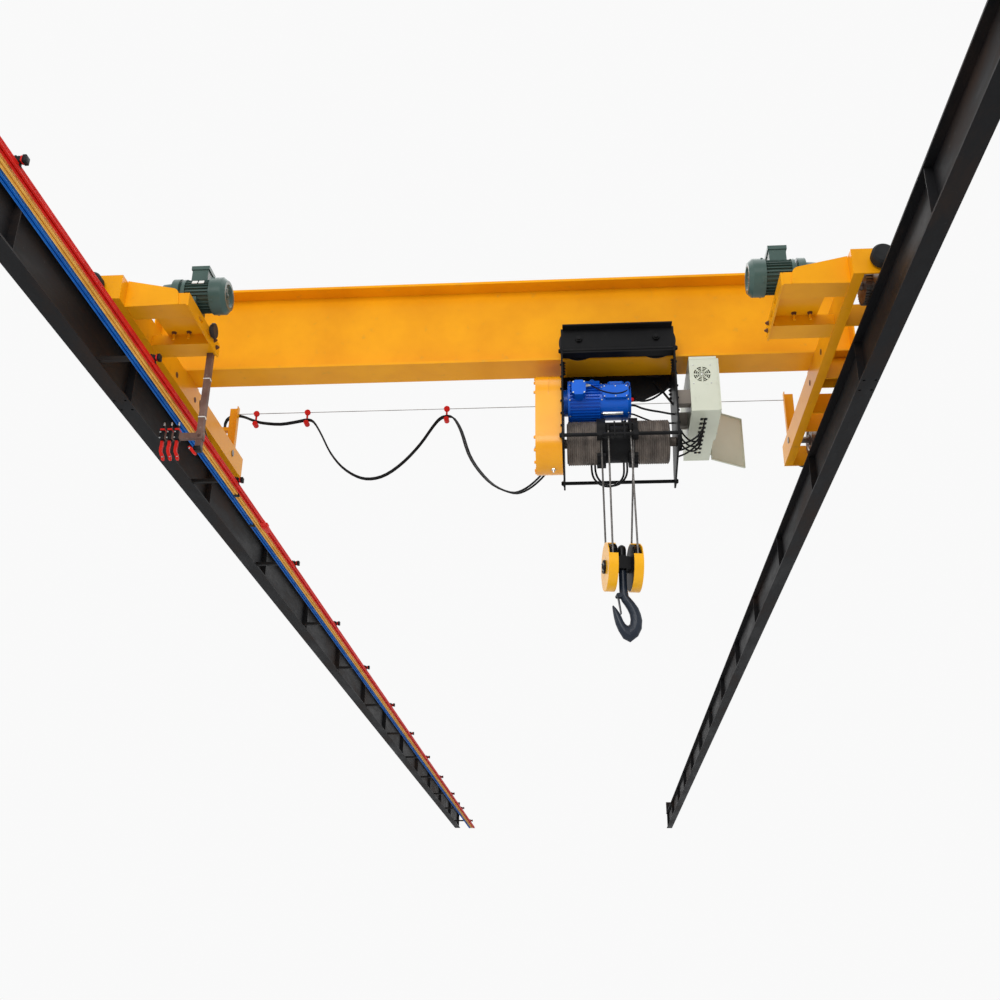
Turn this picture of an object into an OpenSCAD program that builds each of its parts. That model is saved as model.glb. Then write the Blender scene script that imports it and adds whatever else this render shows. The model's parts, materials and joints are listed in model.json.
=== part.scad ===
// Overhead bridge crane: a single-girder bridge with an underslung wire-rope
// hoist, on two runway beams with a three-pole conductor rail.
// Millimetres. X runs along the girder, Y along the runway, Z up.
// The origin is the seat under the left runway beam at its second support.

/* [Runway] */
// Distance between the two rail centres
span = 4600; // [4200:50:6000]
// Distance between two supports of a runway beam
bay_len = 6400; // [5600:100:7000]
// Number of whole bays
bays = 4; // [3:1:6]
// Depth of a runway beam
beam_h = 310; // [270:5:360]
// Flange width of a runway beam
beam_w = 110; // [104:2:130]
// Web thickness of a runway beam
beam_web = 8; // [6:1:12]
// Height of the square-edged rail
rail_h = 30; // [25:1:45]
// Width of the rail head
rail_w = 40; // [30:1:44]
// Distance between two conductor arms
arm_pitch = 1720; // [1500:20:2000]

/* [Bridge] */
// Depth of the bridge girder
girder_h = 645; // [600:5:720]
// Flange width of the bridge girder
girder_w = 240; // [220:5:250]
// Web thickness of the bridge girder
girder_web = 10; // [8:1:16]
// Flange thickness of the bridge girder
girder_flange = 18; // [14:1:22]
// Length of an end carriage without its end plates
carriage_len = 2500; // [2400:20:2900]
// Depth of the end carriage channels
carriage_h = 165; // [150:5:180]
// Width of an end carriage over both channels
carriage_w = 320; // [310:5:340]
// Flange width of an end carriage channel
channel_w = 62; // [50:1:66]
// Tread diameter of a travel wheel
wheel_d = 200; // [180:5:210]
// Length of a drive platform towards mid span
platform_len = 375; // [355:5:400]
// Diameter of a travel motor over its fan cover
drive_d = 232; // [200:4:244]

/* [Trolley] */
// Distance of the trolley centre from mid span
trolley_x = 828; // [408:10:898]
// Length of the hoist frame over its side plates
frame_len = 752; // [732:4:820]
// Thickness of the hoist frame plates
plate_t = 12; // [8:1:16]
// Distance between the trolley wheels along the girder
trolley_base = 513; // [480:5:530]
// Tread diameter of a trolley wheel
trolley_wheel_d = 200; // [180:5:210]
// Diameter of the tie rods
rod_d = 24; // [18:1:30]

/* [Hoist] */
// Drum diameter over the wound rope
drum_d = 290; // [282:2:292]
// Wire rope diameter
rope_d = 13; // [10:1:14]
// Distance between the motor axis and the drum axis
gear_centres = 305; // [303:2:321]
// Radius of the gear case ends
gear_r = 181; // [171:2:191]
// Width of the gear case
gear_w = 172; // [150:2:200]
// Diameter of the hoist motor body
motor_d = 246; // [232:2:250]

/* [Hook block] */
// Depth of the sheave axle below the drum axis
hook_drop = 872; // [832:10:1632]
// Diameter of a sheave cover
cover_d = 308; // [300:2:330]
// Distance between the two sheave centres
sheave_gap = 158; // [154:2:180]
// Turn of the hook block about its vertical axis in degrees
block_yaw = 8.5; // [0:0.5:10]

/* [Control panel] */
// Width of the control panel along the girder
panel_w = 178; // [150:5:220]
// Depth of the control panel along the runway
panel_d = 745; // [600:5:760]
// Height of the control panel
panel_h = 400; // [340:5:420]
// Width of the panel door
door_w = 292; // [240:4:320]
// Angle the panel door stands open in degrees
door_open = 122; // [95:1:130]

/* [Hidden] */
$fn = 48;
eps = 0.01;

// Runway
beam_flange = 12;
beam_over = 150;
first_bay = 1;
beam_y0 = -first_bay * bay_len - beam_over;
beam_len = bays * bay_len + 2 * beam_over;
stiff_t = 8;
stiff_n = 4;
seat_bolt_x = 70;
seat_bolt_y = 120;
seat_bolt_d = 18;
stop_len = 250;
stop_plate = 20;
rail_end = stop_len + 10;

// Heights over the support seat
carriage_gap = 10;
seat_plate = 10;
rail_top = beam_h + rail_h;
car_z = rail_top + carriage_gap;
deck_z = carriage_h + seat_plate;
girder_y = 600;

// Conductor rail, measured from the rail centre towards mid span
bar_pitch = 46;
bar_w = 32;
bar_h = 26;
bar_x1 = 286;
bar_drop = 15;
arm_h = 25;
arm_w = 30;
arm_x1 = 422;
clip_l = 34;
bar_in = 160;
arm_first = 1205;
arm_clear = 100;
arm_k0 = ceil((beam_y0 + bar_in + 250 - arm_first) / arm_pitch);
arm_k1 = floor((beam_y0 + beam_len - bar_in - 250 - arm_first) / arm_pitch);

// End carriages, set inwards from the rail centre
carriage_off = 20;
channel_t = 7;
end_t = 12;
wheel_rim = 18;
wheel_rim_t = 10;
wheel_play = 3;
wheel_w = rail_w + 2 * (wheel_play + wheel_rim_t);
wheel_lift = 0.3;
wheel_r = wheel_d / 2;
wheel_z = wheel_r - carriage_gap + wheel_lift;
wheel_y = carriage_len / 2 - 250;
axle_d = 50;
ring_gear_r = 115;
ring_gear_w = 36;
gear_teeth = 36;
buffer_d = 130;
buffer_l = 78;
girder_len = span + 200;
// faces of the plates that stop the trolley, kept clear of the conductor rail on the left
stop_left = span / 2 - 580;
stop_right = span / 2 - 370;

// Drive platforms
plat_y0 = 75 - carriage_len / 2;
plat_w = 150;
plat_y1 = plat_y0 + 445;
plat_z0 = 4;
plat_z1 = 76;
plat_t = 8;
base_t = 10;
edge_bar = 12;
drive_axis_z = 234;
drive_y = 345 - carriage_len / 2;

// Trolley, heights measured from the underside of the girder
half = frame_len / 2;
inner = half - plate_t;
front_y = -222;
rear_y = 235;
foot_y = 300;
slot_y = girder_w / 2 + 30;
web_y = slot_y + 10;
plate_top = 205;
flange_z = -17;
flange_l = 60;
rear_low = -175;
wheel_face = trolley_wheel_d / 2 + girder_flange;
t_rim = 34;
t_rim_t = 10;
axle_boss = 34;
axle_nut = 48;
rod1 = [-204, 15];
rod2 = [-204, -610];
rod3 = [270, -735];
motor_z = -268;
drum_z = motor_z - gear_centres;
case_low = -598;
rod_end = 16;
rod_nut = 12;
panel_gap = 84;
panel_y0 = -200;
panel_z1 = -54;
panel_t = 2;
door_t = 14;

// Hoist
drum_r = drum_d / 2;
drum_core = drum_r - rope_d;
rope_pitch = rope_d + 1;
turns_left = 15;
turns_right = 16;
guide_w = 58;
guide_in = drum_core + 14;
guide_r = guide_in + 16;
guide_low = -744;
drum_x0 = 24 - inner;
drum_x1 = inner - 48;
guide_left = drum_x0 + (turns_left + 0.5) * rope_pitch;
guide_right = drum_x1 - (turns_right + 0.5) * rope_pitch;
block_x = -12;
block_z = drum_z - hook_drop;
sheave_r = cover_d / 2 - 26;
fall_r = drum_core + rope_d / 2;
fall_angle = asin((fall_r + sheave_r) / hook_drop);
sheave_w = 38;
cover_t = 6;
cover_w = 60;
anchor_left = -78;
anchor_right = 65;
anchor_z = -525;
anchor_y = -guide_r - 16;
socket_l = 46.4;

// Festoon
post_y = 1050;
post_h = 345;
post_w = 75;
wire_z = 282;
wire_d = 6;
wire_back = 20;
carriers = [-1972, -1564, -463];
cable_d = 14;
cable_gap = 24;
cable_drop = 66;
saddle_r = 20;
saddle_play = 2.6;

// Collector mast and its cross arm
mast_w = 38;
mast_in = 14;
mast_y = -619;
mast_low = -680;
cross_z0 = -603;
cross_z1 = -565;

// Points of the festoon cables, as the line half way between the two
cable_route = [
    [-2235, 1084, 350], [-2235, 1084, 372], [-2235, 1084, 394], [-2222, 1084, 430],
    [-2190, 1084, 454], [-2150, 1084, 462], [-2105, 1080, 454], [-2055, 1056, 426],
    [-2015, 1036, 400], [-1972, 1030, 381], [-1915, 1030, 364], [-1770, 1030, 349],
    [-1625, 1030, 370], [-1564, 1030, 381],
    [-1508, 1030, 360], [-1440, 1030, 250], [-1360, 1030, 95], [-1260, 1030, -32],
    [-1140, 1030, -116], [-1030, 1030, -140], [-910, 1030, -105], [-780, 1030, 0],
    [-660, 1030, 145], [-570, 1030, 290], [-516, 1030, 360], [-463, 1030, 381],
    [-405, 1020, 358], [-340, 980, 225], [-270, 910, -5], [-180, 820, -190],
    [-60, 700, -365], [80, 560, -490], [170, 440, -530], [260, 360, -503],
    [330, 320, -437], [352, 280, -370], [352, 240, -340], [352, 210, -335],
    [352, 181.3, -335]];

// Door hinges
hinge_pin = 6;
hinge_play = 0.3;
barrel_l = 34;
lug_t = 8;

// Hook: each row is [inner across, inner up, outer across, outer up, thickness]
head_low = -21;
hook_sides = 20;
hook_rows = [
    [-24, head_low - 3, 26, head_low - 3, 52], [-24, -140, 26, -130, 52],
    [-23, -185, 34, -190, 54], [-11, -222, 68, -230, 58], [6, -246, 92, -266, 60],
    [22, -272, 106, -306, 62], [35, -302, 113, -345, 64], [40, -338, 108, -396, 64],
    [35, -368, 84, -444, 64], [22, -379, 34, -484, 62], [7, -370, -8, -462, 60],
    [-6, -349, -36, -415, 56], [-16, -322, -54, -370, 50], [-28, -298, -62, -335, 42],
    [-42, -276, -67, -302, 34], [-54, -262, -70, -276, 24], [-64, -252, -71, -256, 14]];
latch_x = -34;
latch_z = -188;

// Node to build, or all

// Frames of the moving groups
module bridge_at() {
    translate([span / 2, girder_y, car_z]) children();
}

module trolley_at() {
    bridge_at() translate([trolley_x, 0, deck_z]) children();
}

module block_at() {
    trolley_at() translate([block_x, 0, block_z]) rotate([0, 0, block_yaw]) children();
}

// Mirror image for the left side, s = -1, or the right side, s = 1
module side(s) {
    scale([s, 1, 1]) children();
}

module box(x0, x1, y0, y1, z0, z1) {
    translate([x0, y0, z0]) cube([x1 - x0, y1 - y0, z1 - z0]);
}

module rod_x(x0, x1, y, z, r) {
    translate([x0, y, z]) rotate([0, 90, 0]) cylinder(r = r, h = x1 - x0);
}

module rod_y(x, y0, y1, z, r) {
    translate([x, y0, z]) rotate([-90, 0, 0]) cylinder(r = r, h = y1 - y0);
}

// Solid of revolution about an X axis, from points [radius, x]
module turned_x(y, z, pts) {
    translate([0, y, z]) rotate([0, 90, 0]) rotate_extrude() polygon(pts);
}

// Runway
module seat_holes() {
    for (k = [0 : bays], x = [-1, 1], y = [-1, 1])
        translate([x * seat_bolt_x / 2, (k - first_bay) * bay_len + y * seat_bolt_y / 2, -1])
            cylinder(d = seat_bolt_d, h = beam_flange + 2);
}

module beam_profile() {
    translate([-beam_w / 2, 0]) square([beam_w, beam_flange]);
    translate([-beam_w / 2, beam_h - beam_flange]) square([beam_w, beam_flange]);
    translate([-beam_web / 2, 0]) square([beam_web, beam_h]);
}

module runway_beam() {
    difference() {
        translate([0, beam_y0 + beam_len, 0])
            rotate([90, 0, 0]) linear_extrude(beam_len) beam_profile();
        seat_holes();
    }
    step = bay_len / stiff_n;
    for (k = [0 : bays * stiff_n]) {
        y = (k - first_bay * stiff_n) * step;
        box(-beam_w / 2 + 6, beam_w / 2 - 6, y - stiff_t / 2, y + stiff_t / 2,
            beam_flange - eps, beam_h - beam_flange + eps);
    }
}

module left_runway_beam() {
    color([0.07, 0.07, 0.075]) runway_beam();
}

module right_runway_beam() {
    color([0.07, 0.07, 0.075]) translate([span, 0, 0]) runway_beam();
}

module rails() {
    color([0.2, 0.17, 0.15])
        for (x = [0, span])
            box(x - rail_w / 2, x + rail_w / 2, beam_y0 + rail_end,
                beam_y0 + beam_len - rail_end, beam_h, rail_top);
}

module end_stop() {
    w = beam_w + 20;
    box(-beam_w / 2, beam_w / 2, 0, stop_len, beam_h, beam_h + 12);
    box(-w / 2, w / 2, stop_len - stop_plate, stop_len, beam_h, car_z + carriage_h - 5);
    translate([-6, 0, beam_h + 12 - eps]) rotate([90, 0, 90]) linear_extrude(12)
        polygon([[10, 0], [stop_len - stop_plate + eps, 0],
            [stop_len - stop_plate + eps, carriage_h - 20]]);
}

module runway_end_stops() {
    color([0.07, 0.07, 0.075])
        for (x = [0, span]) {
            translate([x, beam_y0, 0]) end_stop();
            translate([x, beam_y0 + beam_len, 0]) mirror([0, 1, 0]) end_stop();
        }
}

// Insulated bar with ribs along its length and a slot under it
module bar_profile() {
    difference() {
        translate([-bar_w / 2, 0]) square([bar_w, bar_h]);
        for (x = [-11, 8])
            translate([x, -eps]) square([3, 2.5]);
        translate([-5, -eps]) square([10, 12]);
        for (s = [-1, 1], k = [1 : 3])
            translate([s * bar_w / 2, k * bar_h / 4]) circle(r = 2, $fn = 12);
    }
}

module conductor_bar(i) {
    translate([bar_x1 + i * bar_pitch, beam_y0 + beam_len - bar_in, beam_flange - bar_drop - bar_h])
        rotate([90, 0, 0]) linear_extrude(beam_len - 2 * bar_in) bar_profile();
}

module conductor_bar_blue() {
    color([0.03, 0.25, 0.65]) conductor_bar(0);
}

module conductor_bar_yellow() {
    color([0.93, 0.7, 0.2]) conductor_bar(1);
}

module conductor_bar_red() {
    color([0.8, 0.09, 0.06]) conductor_bar(2);
}

// Place of a conductor arm, kept clear of the stiffeners and the support seats
function arm_y(k) =
    let (y = arm_first + k * arm_pitch, step = bay_len / stiff_n, near = round(y / step) * step)
    abs(y - near) >= arm_clear ? y : near + (y < near ? -arm_clear : arm_clear);

module conductor_brackets() {
    color([0.12, 0.1, 0.1])
        for (k = [arm_k0 : arm_k1])
            translate([0, arm_y(k), beam_flange]) {
                box(beam_web / 2, arm_x1, -arm_w / 2, arm_w / 2, 0, arm_h);
                for (i = [0 : 2])
                    translate([bar_x1 + i * bar_pitch, 0, 0])
                        box(-bar_w / 2 + 4, bar_w / 2 - 4, -clip_l / 2, clip_l / 2,
                            -bar_drop, eps);
            }
}

// Bridge
module bridge_girder() {
    color([0.95, 0.62, 0.02]) bridge_at() translate([0, 0, deck_z]) {
        translate([-girder_len / 2, 0, 0]) rotate([90, 0, 90])
            linear_extrude(girder_len) {
                translate([-girder_w / 2, 0]) square([girder_w, girder_flange]);
                translate([-girder_w / 2, girder_h - girder_flange])
                    square([girder_w, girder_flange]);
                translate([-girder_web / 2, 0]) square([girder_web, girder_h]);
            }
        // end plates, and the plates that stop the rear trolley wheels
        for (s = [-1, 1])
            side(s) {
                x = s < 0 ? stop_left : stop_right;
                box(girder_len / 2 - 10, girder_len / 2, -girder_w / 2, girder_w / 2, 0, girder_h);
                box(x, x + 16, girder_web / 2 - eps, girder_w / 2 - 8, girder_flange - eps,
                    girder_flange + 190);
            }
    }
}

module carriage_at() {
    translate([span / 2 - carriage_off, 0, 0]) children();
}

module channel(s) {
    // channel along Y with its web on the outside of the pair
    x = carriage_w / 2;
    side(s) difference() {
        box(x - channel_w, x, -carriage_len / 2, carriage_len / 2, 0, carriage_h);
        box(x - channel_w - 1, x - channel_t, -carriage_len / 2 - 1, carriage_len / 2 + 1,
            channel_t + 3, carriage_h - channel_t - 3);
        for (y = [-1, 1])
            rod_x(x - channel_t - 1, x + 1, y * wheel_y, wheel_z, axle_d / 2);
    }
}

module end_carriage() {
    inside = carriage_w / 2 - channel_t;
    channel(-1);
    channel(1);
    for (y = [-1, 1])
        scale([1, y, 1])
            box(-carriage_w / 2, carriage_w / 2, carriage_len / 2 - eps, carriage_len / 2 + end_t,
                0, carriage_h);
    // cross plates between the webs
    for (y = [-700, -60, 60, 420, 700])
        box(-inside - eps, inside + eps, y - 5, y + 5, 8, carriage_h - 8);
    // seat for the girder
    box(-carriage_w / 2, carriage_w / 2, -girder_w / 2 - 30, girder_w / 2 + 30,
        carriage_h - eps, deck_z);
}

module left_end_carriage() {
    color([0.95, 0.62, 0.02]) bridge_at() side(-1) carriage_at() end_carriage();
}

module right_end_carriage() {
    color([0.95, 0.62, 0.02]) bridge_at() carriage_at() end_carriage();
}

module end_buffers() {
    color([0.04, 0.04, 0.045]) bridge_at()
        for (x = [-1, 1], y = [-1, 1])
            side(x) carriage_at() translate([0, y * (carriage_len / 2 + end_t), carriage_h / 2])
                rotate([y > 0 ? -90 : 90, 0, 0])
                    rotate_extrude() polygon([[0, 0], [buffer_d / 2 - 12, 0],
                        [buffer_d / 2 - 12, 10], [buffer_d / 2, 18],
                        [buffer_d / 2, buffer_l - 12], [buffer_d / 2 - 12, buffer_l],
                        [0, buffer_l]]);
}

// Travel wheel with a flange on both sides of the rail, about its own centre
module travel_wheel(geared) {
    hw = wheel_w / 2;
    rr = wheel_r + wheel_rim;
    out = carriage_w / 2 - carriage_off + 6;
    ax = carriage_w / 2 + carriage_off + 6;
    turned_x(0, 0, [[0, -out], [axle_d / 2 - 1, -out], [axle_d / 2 - 1, -hw - 4],
        [axle_d / 2 + 14, -hw - 4], [axle_d / 2 + 14, -hw + 8], [wheel_r - 26, -hw + 8],
        [wheel_r - 20, -hw], [rr, -hw], [rr, -hw + wheel_rim_t - 3],
        [wheel_r, -hw + wheel_rim_t], [wheel_r, hw - wheel_rim_t],
        [rr, hw - wheel_rim_t + 3], [rr, hw], [wheel_r - 20, hw], [wheel_r - 26, hw - 8],
        [axle_d / 2 + 14, hw - 8], [axle_d / 2 + 14, hw + 4], [axle_d / 2 - 1, hw + 4],
        [axle_d / 2 - 1, ax], [0, ax]]);
    if (geared) translate([hw - eps, 0, 0]) rotate([0, 90, 0]) ring_gear();
}

// Straight-cut ring gear on the inner side of a driven wheel
module ring_gear() {
    linear_extrude(ring_gear_w) difference() {
        union() {
            circle(r = ring_gear_r - 9, $fn = 72);
            for (k = [0 : gear_teeth - 1])
                rotate(k * 360 / gear_teeth)
                    polygon([[ring_gear_r - 12, -5.2], [ring_gear_r, -2.6],
                        [ring_gear_r, 2.6], [ring_gear_r - 12, 5.2]]);
        }
        circle(r = axle_d / 2 + 4);
    }
}

module wheel_at(sx, sy) {
    bridge_at() translate([sx * span / 2, sy * wheel_y, wheel_z]) children();
}

module left_drive_wheel() {
    color([0.35, 0.33, 0.3]) wheel_at(-1, -1) travel_wheel(true);
}

module left_idle_wheel() {
    color([0.35, 0.33, 0.3]) wheel_at(-1, 1) travel_wheel(false);
}

module right_drive_wheel() {
    color([0.35, 0.33, 0.3]) wheel_at(1, -1) mirror([1, 0, 0]) travel_wheel(true);
}

module right_idle_wheel() {
    color([0.35, 0.33, 0.3]) wheel_at(1, 1) mirror([1, 0, 0]) travel_wheel(false);
}

// Drive platform on the inner side of the right carriage
carriage_x = span / 2 - carriage_off - carriage_w / 2;
plat_x = carriage_x - platform_len;

module tray_channel(y0) {
    difference() {
        box(plat_x, carriage_x, y0, y0 + plat_w, plat_z0, plat_z1);
        box(plat_x - 1, carriage_x + 1, y0 + plat_t, y0 + plat_w - plat_t,
            plat_z0 + plat_t, plat_z1 + 1);
    }
}

// Points of an arc in degrees
function arc(x, y, r, a0, a1, n) =
    [for (k = [0 : n]) [x + r * cos(a0 + (a1 - a0) * k / n), y + r * sin(a0 + (a1 - a0) * k / n)]];

module gusset_profile() {
    tip = plat_x + 50;
    polygon(concat(
        [[carriage_x, plat_z0 - 12], [carriage_x, deck_z]],
        arc(tip + 50, plat_z1 - 6, 45, 102, 180, 8),
        arc(tip + 8, plat_z0 + 8, 12, 180, 265, 4)));
}

module drive_platform() {
    mid = (plat_y0 + plat_y1 + plat_w) / 2;
    tray_channel(plat_y0);
    tray_channel(plat_y1);
    // tapered cover plate in front
    translate([0, plat_y0, 0]) rotate([90, 0, 0]) linear_extrude(plat_t) gusset_profile();
    // slotted bar along the open edge
    difference() {
        box(plat_x - edge_bar, plat_x, plat_y0 - 3, plat_y1 + plat_w, plat_z0 - 10, plat_z1 + 4);
        for (y = [mid - 75, mid + 75])
            box(plat_x - edge_bar - 1, plat_x + 1, y - 38, y + 38, plat_z0 + 20, plat_z0 + 44);
    }
    // base plate for the drive, and its bolts
    translate([0, 0, plat_z1]) linear_extrude(base_t)
        polygon([[plat_x + 5, plat_y0 + 5], [plat_x + 5, plat_y1 + plat_w - 10],
            [carriage_x - 110, plat_y1 + plat_w - 10], [carriage_x - 75, plat_y0 + 5]]);
    for (x = [131, 227], y = [plat_y0 + plat_w + 27, plat_y1 - 27])
        translate([plat_x + x, y, plat_z1 - 50]) cylinder(d = 16, h = 51);
}

module left_drive_platform() {
    color([0.95, 0.62, 0.02]) bridge_at() side(-1) drive_platform();
}

module right_drive_platform() {
    color([0.95, 0.62, 0.02]) bridge_at() drive_platform();
}

// Travel motor with its reduction gear and pinion, drawn for the right carriage
module cooling_fins(x0, x1, r0, r1, n, t) {
    for (k = [0 : n - 1])
        rotate([k * 360 / n, 0, 0]) box(x0, x1, -t / 2, t / 2, r0 - 3, r1);
}

module travel_drive() {
    r = drive_d / 2;
    fan_x = plat_x - 155;
    body_x = fan_x + 100;
    gear_x = body_x + 165;
    pinion_x = span / 2 - wheel_w / 2 - ring_gear_w;
    pinion_r = norm([wheel_y + drive_y, drive_axis_z - wheel_z]) - ring_gear_r - 6;
    translate([0, drive_y, drive_axis_z]) {
        turned_x(0, 0, [[0, fan_x + 12], [r * 0.55, fan_x + 12], [r * 0.62, fan_x],
            [r * 0.8, fan_x], [r, fan_x + 26], [r, body_x], [r - 26, body_x],
            [r - 26, gear_x - 12], [r - 8, gear_x - 12], [r - 8, gear_x + 8],
            [r - 30, gear_x + 12], [r - 30, gear_x + 22], [r - 4, gear_x + 26],
            [r - 4, gear_x + 70], [r - 28, gear_x + 76], [r - 34, gear_x + 140],
            [r - 60, gear_x + 158], [24, gear_x + 160], [24, pinion_x], [pinion_r, pinion_x],
            [pinion_r, pinion_x + ring_gear_w], [0, pinion_x + ring_gear_w]]);
        cooling_fins(body_x - eps, gear_x - 11, r - 26, r - 12, 28, 3.2);
        // terminal box and its cover
        box(body_x + 34, body_x + 136, -52, 52, r - 30, r + 58);
        box(body_x + 28, body_x + 142, -58, 58, r + 50, r + 76);
        // feet
        for (y = [-1, 1])
            scale([1, y, 1]) box(body_x + 76, gear_x + 4, 48, 92,
                plat_z1 + base_t - drive_axis_z, -r + 60);
    }
}

module left_drive_motor() {
    color([0.26, 0.36, 0.33]) bridge_at() side(-1) travel_drive();
}

module right_drive_motor() {
    color([0.26, 0.36, 0.33]) bridge_at() travel_drive();
}

// Collector mast under the left platform
mast_x = -plat_x - mast_in - mast_w;

module square_tube(x0, x1, y0, y1, z0, z1, along) {
    t = 4;
    difference() {
        box(x0, x1, y0, y1, z0, z1);
        if (along == "z") box(x0 + t, x1 - t, y0 + t, y1 - t, z0 - 1, z1 + 1);
        else box(x0 - 1, x1 + 1, y0 + t, y1 - t, z0 + t, z1 - t);
    }
}

module collector_mast() {
    color([0.38, 0.24, 0.18]) bridge_at() {
        square_tube(mast_x, mast_x + mast_w, mast_y, mast_y + mast_w, mast_low, plat_z0, "z");
        square_tube(bar_x(0) - 12, mast_x + eps, mast_y + 2, mast_y + mast_w - 2,
            cross_z0, cross_z1, "x");
    }
}

// Centre of a conductor bar in the frame of the bridge
function bar_x(i) = -span / 2 + bar_x1 + i * bar_pitch;

module current_collectors() {
    color([0.8, 0.1, 0.07]) bridge_at()
        for (i = [0 : 2])
            translate([bar_x(i), mast_y + mast_w / 2, 0]) {
                // clamp on the cross arm
                difference() {
                    box(-15, 15, -mast_w / 2 - 8, mast_w / 2 + 8, cross_z0 - 8, cross_z1 + 34);
                    box(-16, 16, 2 - mast_w / 2, mast_w / 2 - 2, cross_z0, cross_z1);
                }
                // hanging lever of the return spring
                translate([0, 9, 0]) rotate([90, 0, 0]) linear_extrude(18)
                    polygon([[-9, cross_z0 - 8 + eps], [9, cross_z0 - 8 + eps],
                        [8, cross_z0 - 60], [28, cross_z0 - 118], [26, cross_z0 - 142],
                        [12, cross_z0 - 142], [8, cross_z0 - 118], [-8, cross_z0 - 62]]);
            }
}

// Festoon
post_x = carriage_x;
wire_up = carriage_h + wire_z;

module festoon_posts() {
    color([0.95, 0.62, 0.02]) bridge_at() {
        for (s = [-1, 1])
            side(s) {
                box(post_x, post_x + post_w, post_y, post_y + 6, carriage_h, carriage_h + post_h);
                box(post_x, post_x + 6, post_y - 40, post_y + eps, carriage_h,
                    carriage_h + post_h);
            }
        // clamp behind the left post that holds the start of the cables
        box(-post_x - post_w - 57, -post_x - post_w + 15, post_y + 6 - eps, post_y + 58,
            cable_route[0][2] - 30, cable_route[0][2] - 0.3);
    }
}

module festoon_wire() {
    color([0.5, 0.5, 0.5]) bridge_at()
        rod_x(-post_x, post_x, post_y - wire_back, wire_up, wire_d / 2);
}

module cable_carriers() {
    saddle_z = -cable_drop - cable_d / 2 - saddle_play - saddle_r;
    color([0.8, 0.08, 0.05]) bridge_at()
        for (x = carriers)
            translate([x, post_y - wire_back, wire_up]) difference() {
                union() {
                    rod_y(0, -8, 8, 0, 23);
                    box(-7, 7, -4, 4, saddle_z, 0);
                    rod_y(0, -24, 24, saddle_z, saddle_r);
                }
                rod_x(-40, 40, 0, 0, wire_d / 2);
            }
}

// Trolley
module trolley_plates() {
    color([0.05, 0.05, 0.055]) trolley_at() {
        // front channel that carries the wheel axles
        box(-inner, inner, -web_y - plate_t, -web_y, flange_z, plate_top);
        // deeper rear plate
        translate([0, web_y + plate_t, 0]) rotate([90, 0, 0]) linear_extrude(plate_t)
            polygon([[-inner, rear_low], [inner * 0.45, rear_low], [inner, rear_low + 100],
                [inner, plate_top], [-inner, plate_top]]);
        for (y = [-1, 1])
            scale([1, y, 1]) {
                for (z = [flange_z, plate_top - 10])
                    box(-inner, inner, web_y + plate_t - eps, web_y + plate_t + flange_l, z, z + 10);
                // axles and their nuts
                for (x = [-trolley_base / 2, trolley_base / 2]) {
                    rod_y(x, slot_y - 76, slot_y + 12, wheel_face + 0.3, 15);
                    translate([x, web_y + plate_t - eps, wheel_face + 0.3]) rotate([-90, 0, 0])
                        cylinder(d = axle_nut, h = 20, $fn = 6);
                    rod_y(x, web_y + plate_t + 19, web_y + plate_t + 32, wheel_face + 0.3, 14);
                }
            }
    }
}

module side_plate_outline() {
    polygon([[-web_y - plate_t, plate_top], [-web_y - plate_t, rod1[1] + 30],
        [front_y, rod1[1] + 30], [front_y, rod2[1] - 30], [rod3[0] - 26, rod3[1] - 38],
        [foot_y, rod3[1] - 38], [foot_y, rod3[1] + 70], [rear_y, rod3[1] + 250],
        [rear_y, -60], [web_y + plate_t, 20], [web_y + plate_t, plate_top],
        [slot_y, plate_top], [slot_y, -22], [-slot_y, -22], [-slot_y, plate_top]]);
}

module side_plates() {
    color([0.05, 0.05, 0.055]) trolley_at()
        difference() {
            union() {
                for (x = [-half, inner])
                    translate([x, 0, 0]) rotate([90, 0, 90]) linear_extrude(plate_t)
                        side_plate_outline();
                rod_x(half - eps, half + 26, 0, drum_z, 62);
            }
            for (p = [rod1, rod2, rod3])
                rod_x(-half - 1, half + 1, p[0], p[1], rod_d / 2 + 0.5);
            rod_x(-half - 1, half + 20, 0, drum_z, 32);
        }
}

module tie_rods() {
    color([0.05, 0.05, 0.055]) trolley_at()
        for (p = [rod1, rod2, rod3]) {
            rod_x(-half - rod_end, half + rod_end, p[0], p[1], rod_d / 2);
            for (x = [-half - rod_nut, half])
                translate([x, p[0], p[1]]) rotate([0, 90, 0])
                    cylinder(d = rod_d * 1.46, h = rod_nut, $fn = 6);
        }
}

module trolley_wheel(sx, sy) {
    x = sx * trolley_base / 2;
    y0 = girder_w / 2 - 50;
    y1 = girder_w / 2 + 6;
    r = trolley_wheel_d / 2;
    color([0.06, 0.06, 0.065]) trolley_at()
        translate([x, 0, wheel_face + 0.3]) scale([1, sy, 1]) rotate([-90, 0, 0])
            rotate_extrude() polygon([[15.5, y0], [r - 10, y0], [r, y0 + 8], [r, y1],
                [r + t_rim, y1 + 1], [r + t_rim, y1 + t_rim_t], [r - 30, y1 + t_rim_t],
                [r - 36, y1 + t_rim_t - 5], [axle_boss / 2 + 6, y1 + t_rim_t - 5],
                [axle_boss / 2 + 4, slot_y + 8], [15.5, slot_y + 8]]);
}

module front_left_trolley_wheel() {
    trolley_wheel(-1, -1);
}

module front_right_trolley_wheel() {
    trolley_wheel(1, -1);
}

module rear_left_trolley_wheel() {
    trolley_wheel(-1, 1);
}

module rear_right_trolley_wheel() {
    trolley_wheel(1, 1);
}

// Rectangle with cut corners, centred
module cut_corners(w, l, c) {
    polygon([for (p = [[w, l - 2 * c], [w - 2 * c, l], [2 * c - w, l], [-w, l - 2 * c],
        [-w, 2 * c - l], [2 * c - w, -l], [w - 2 * c, -l], [w, 2 * c - l]]) p / 2]);
}

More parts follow.
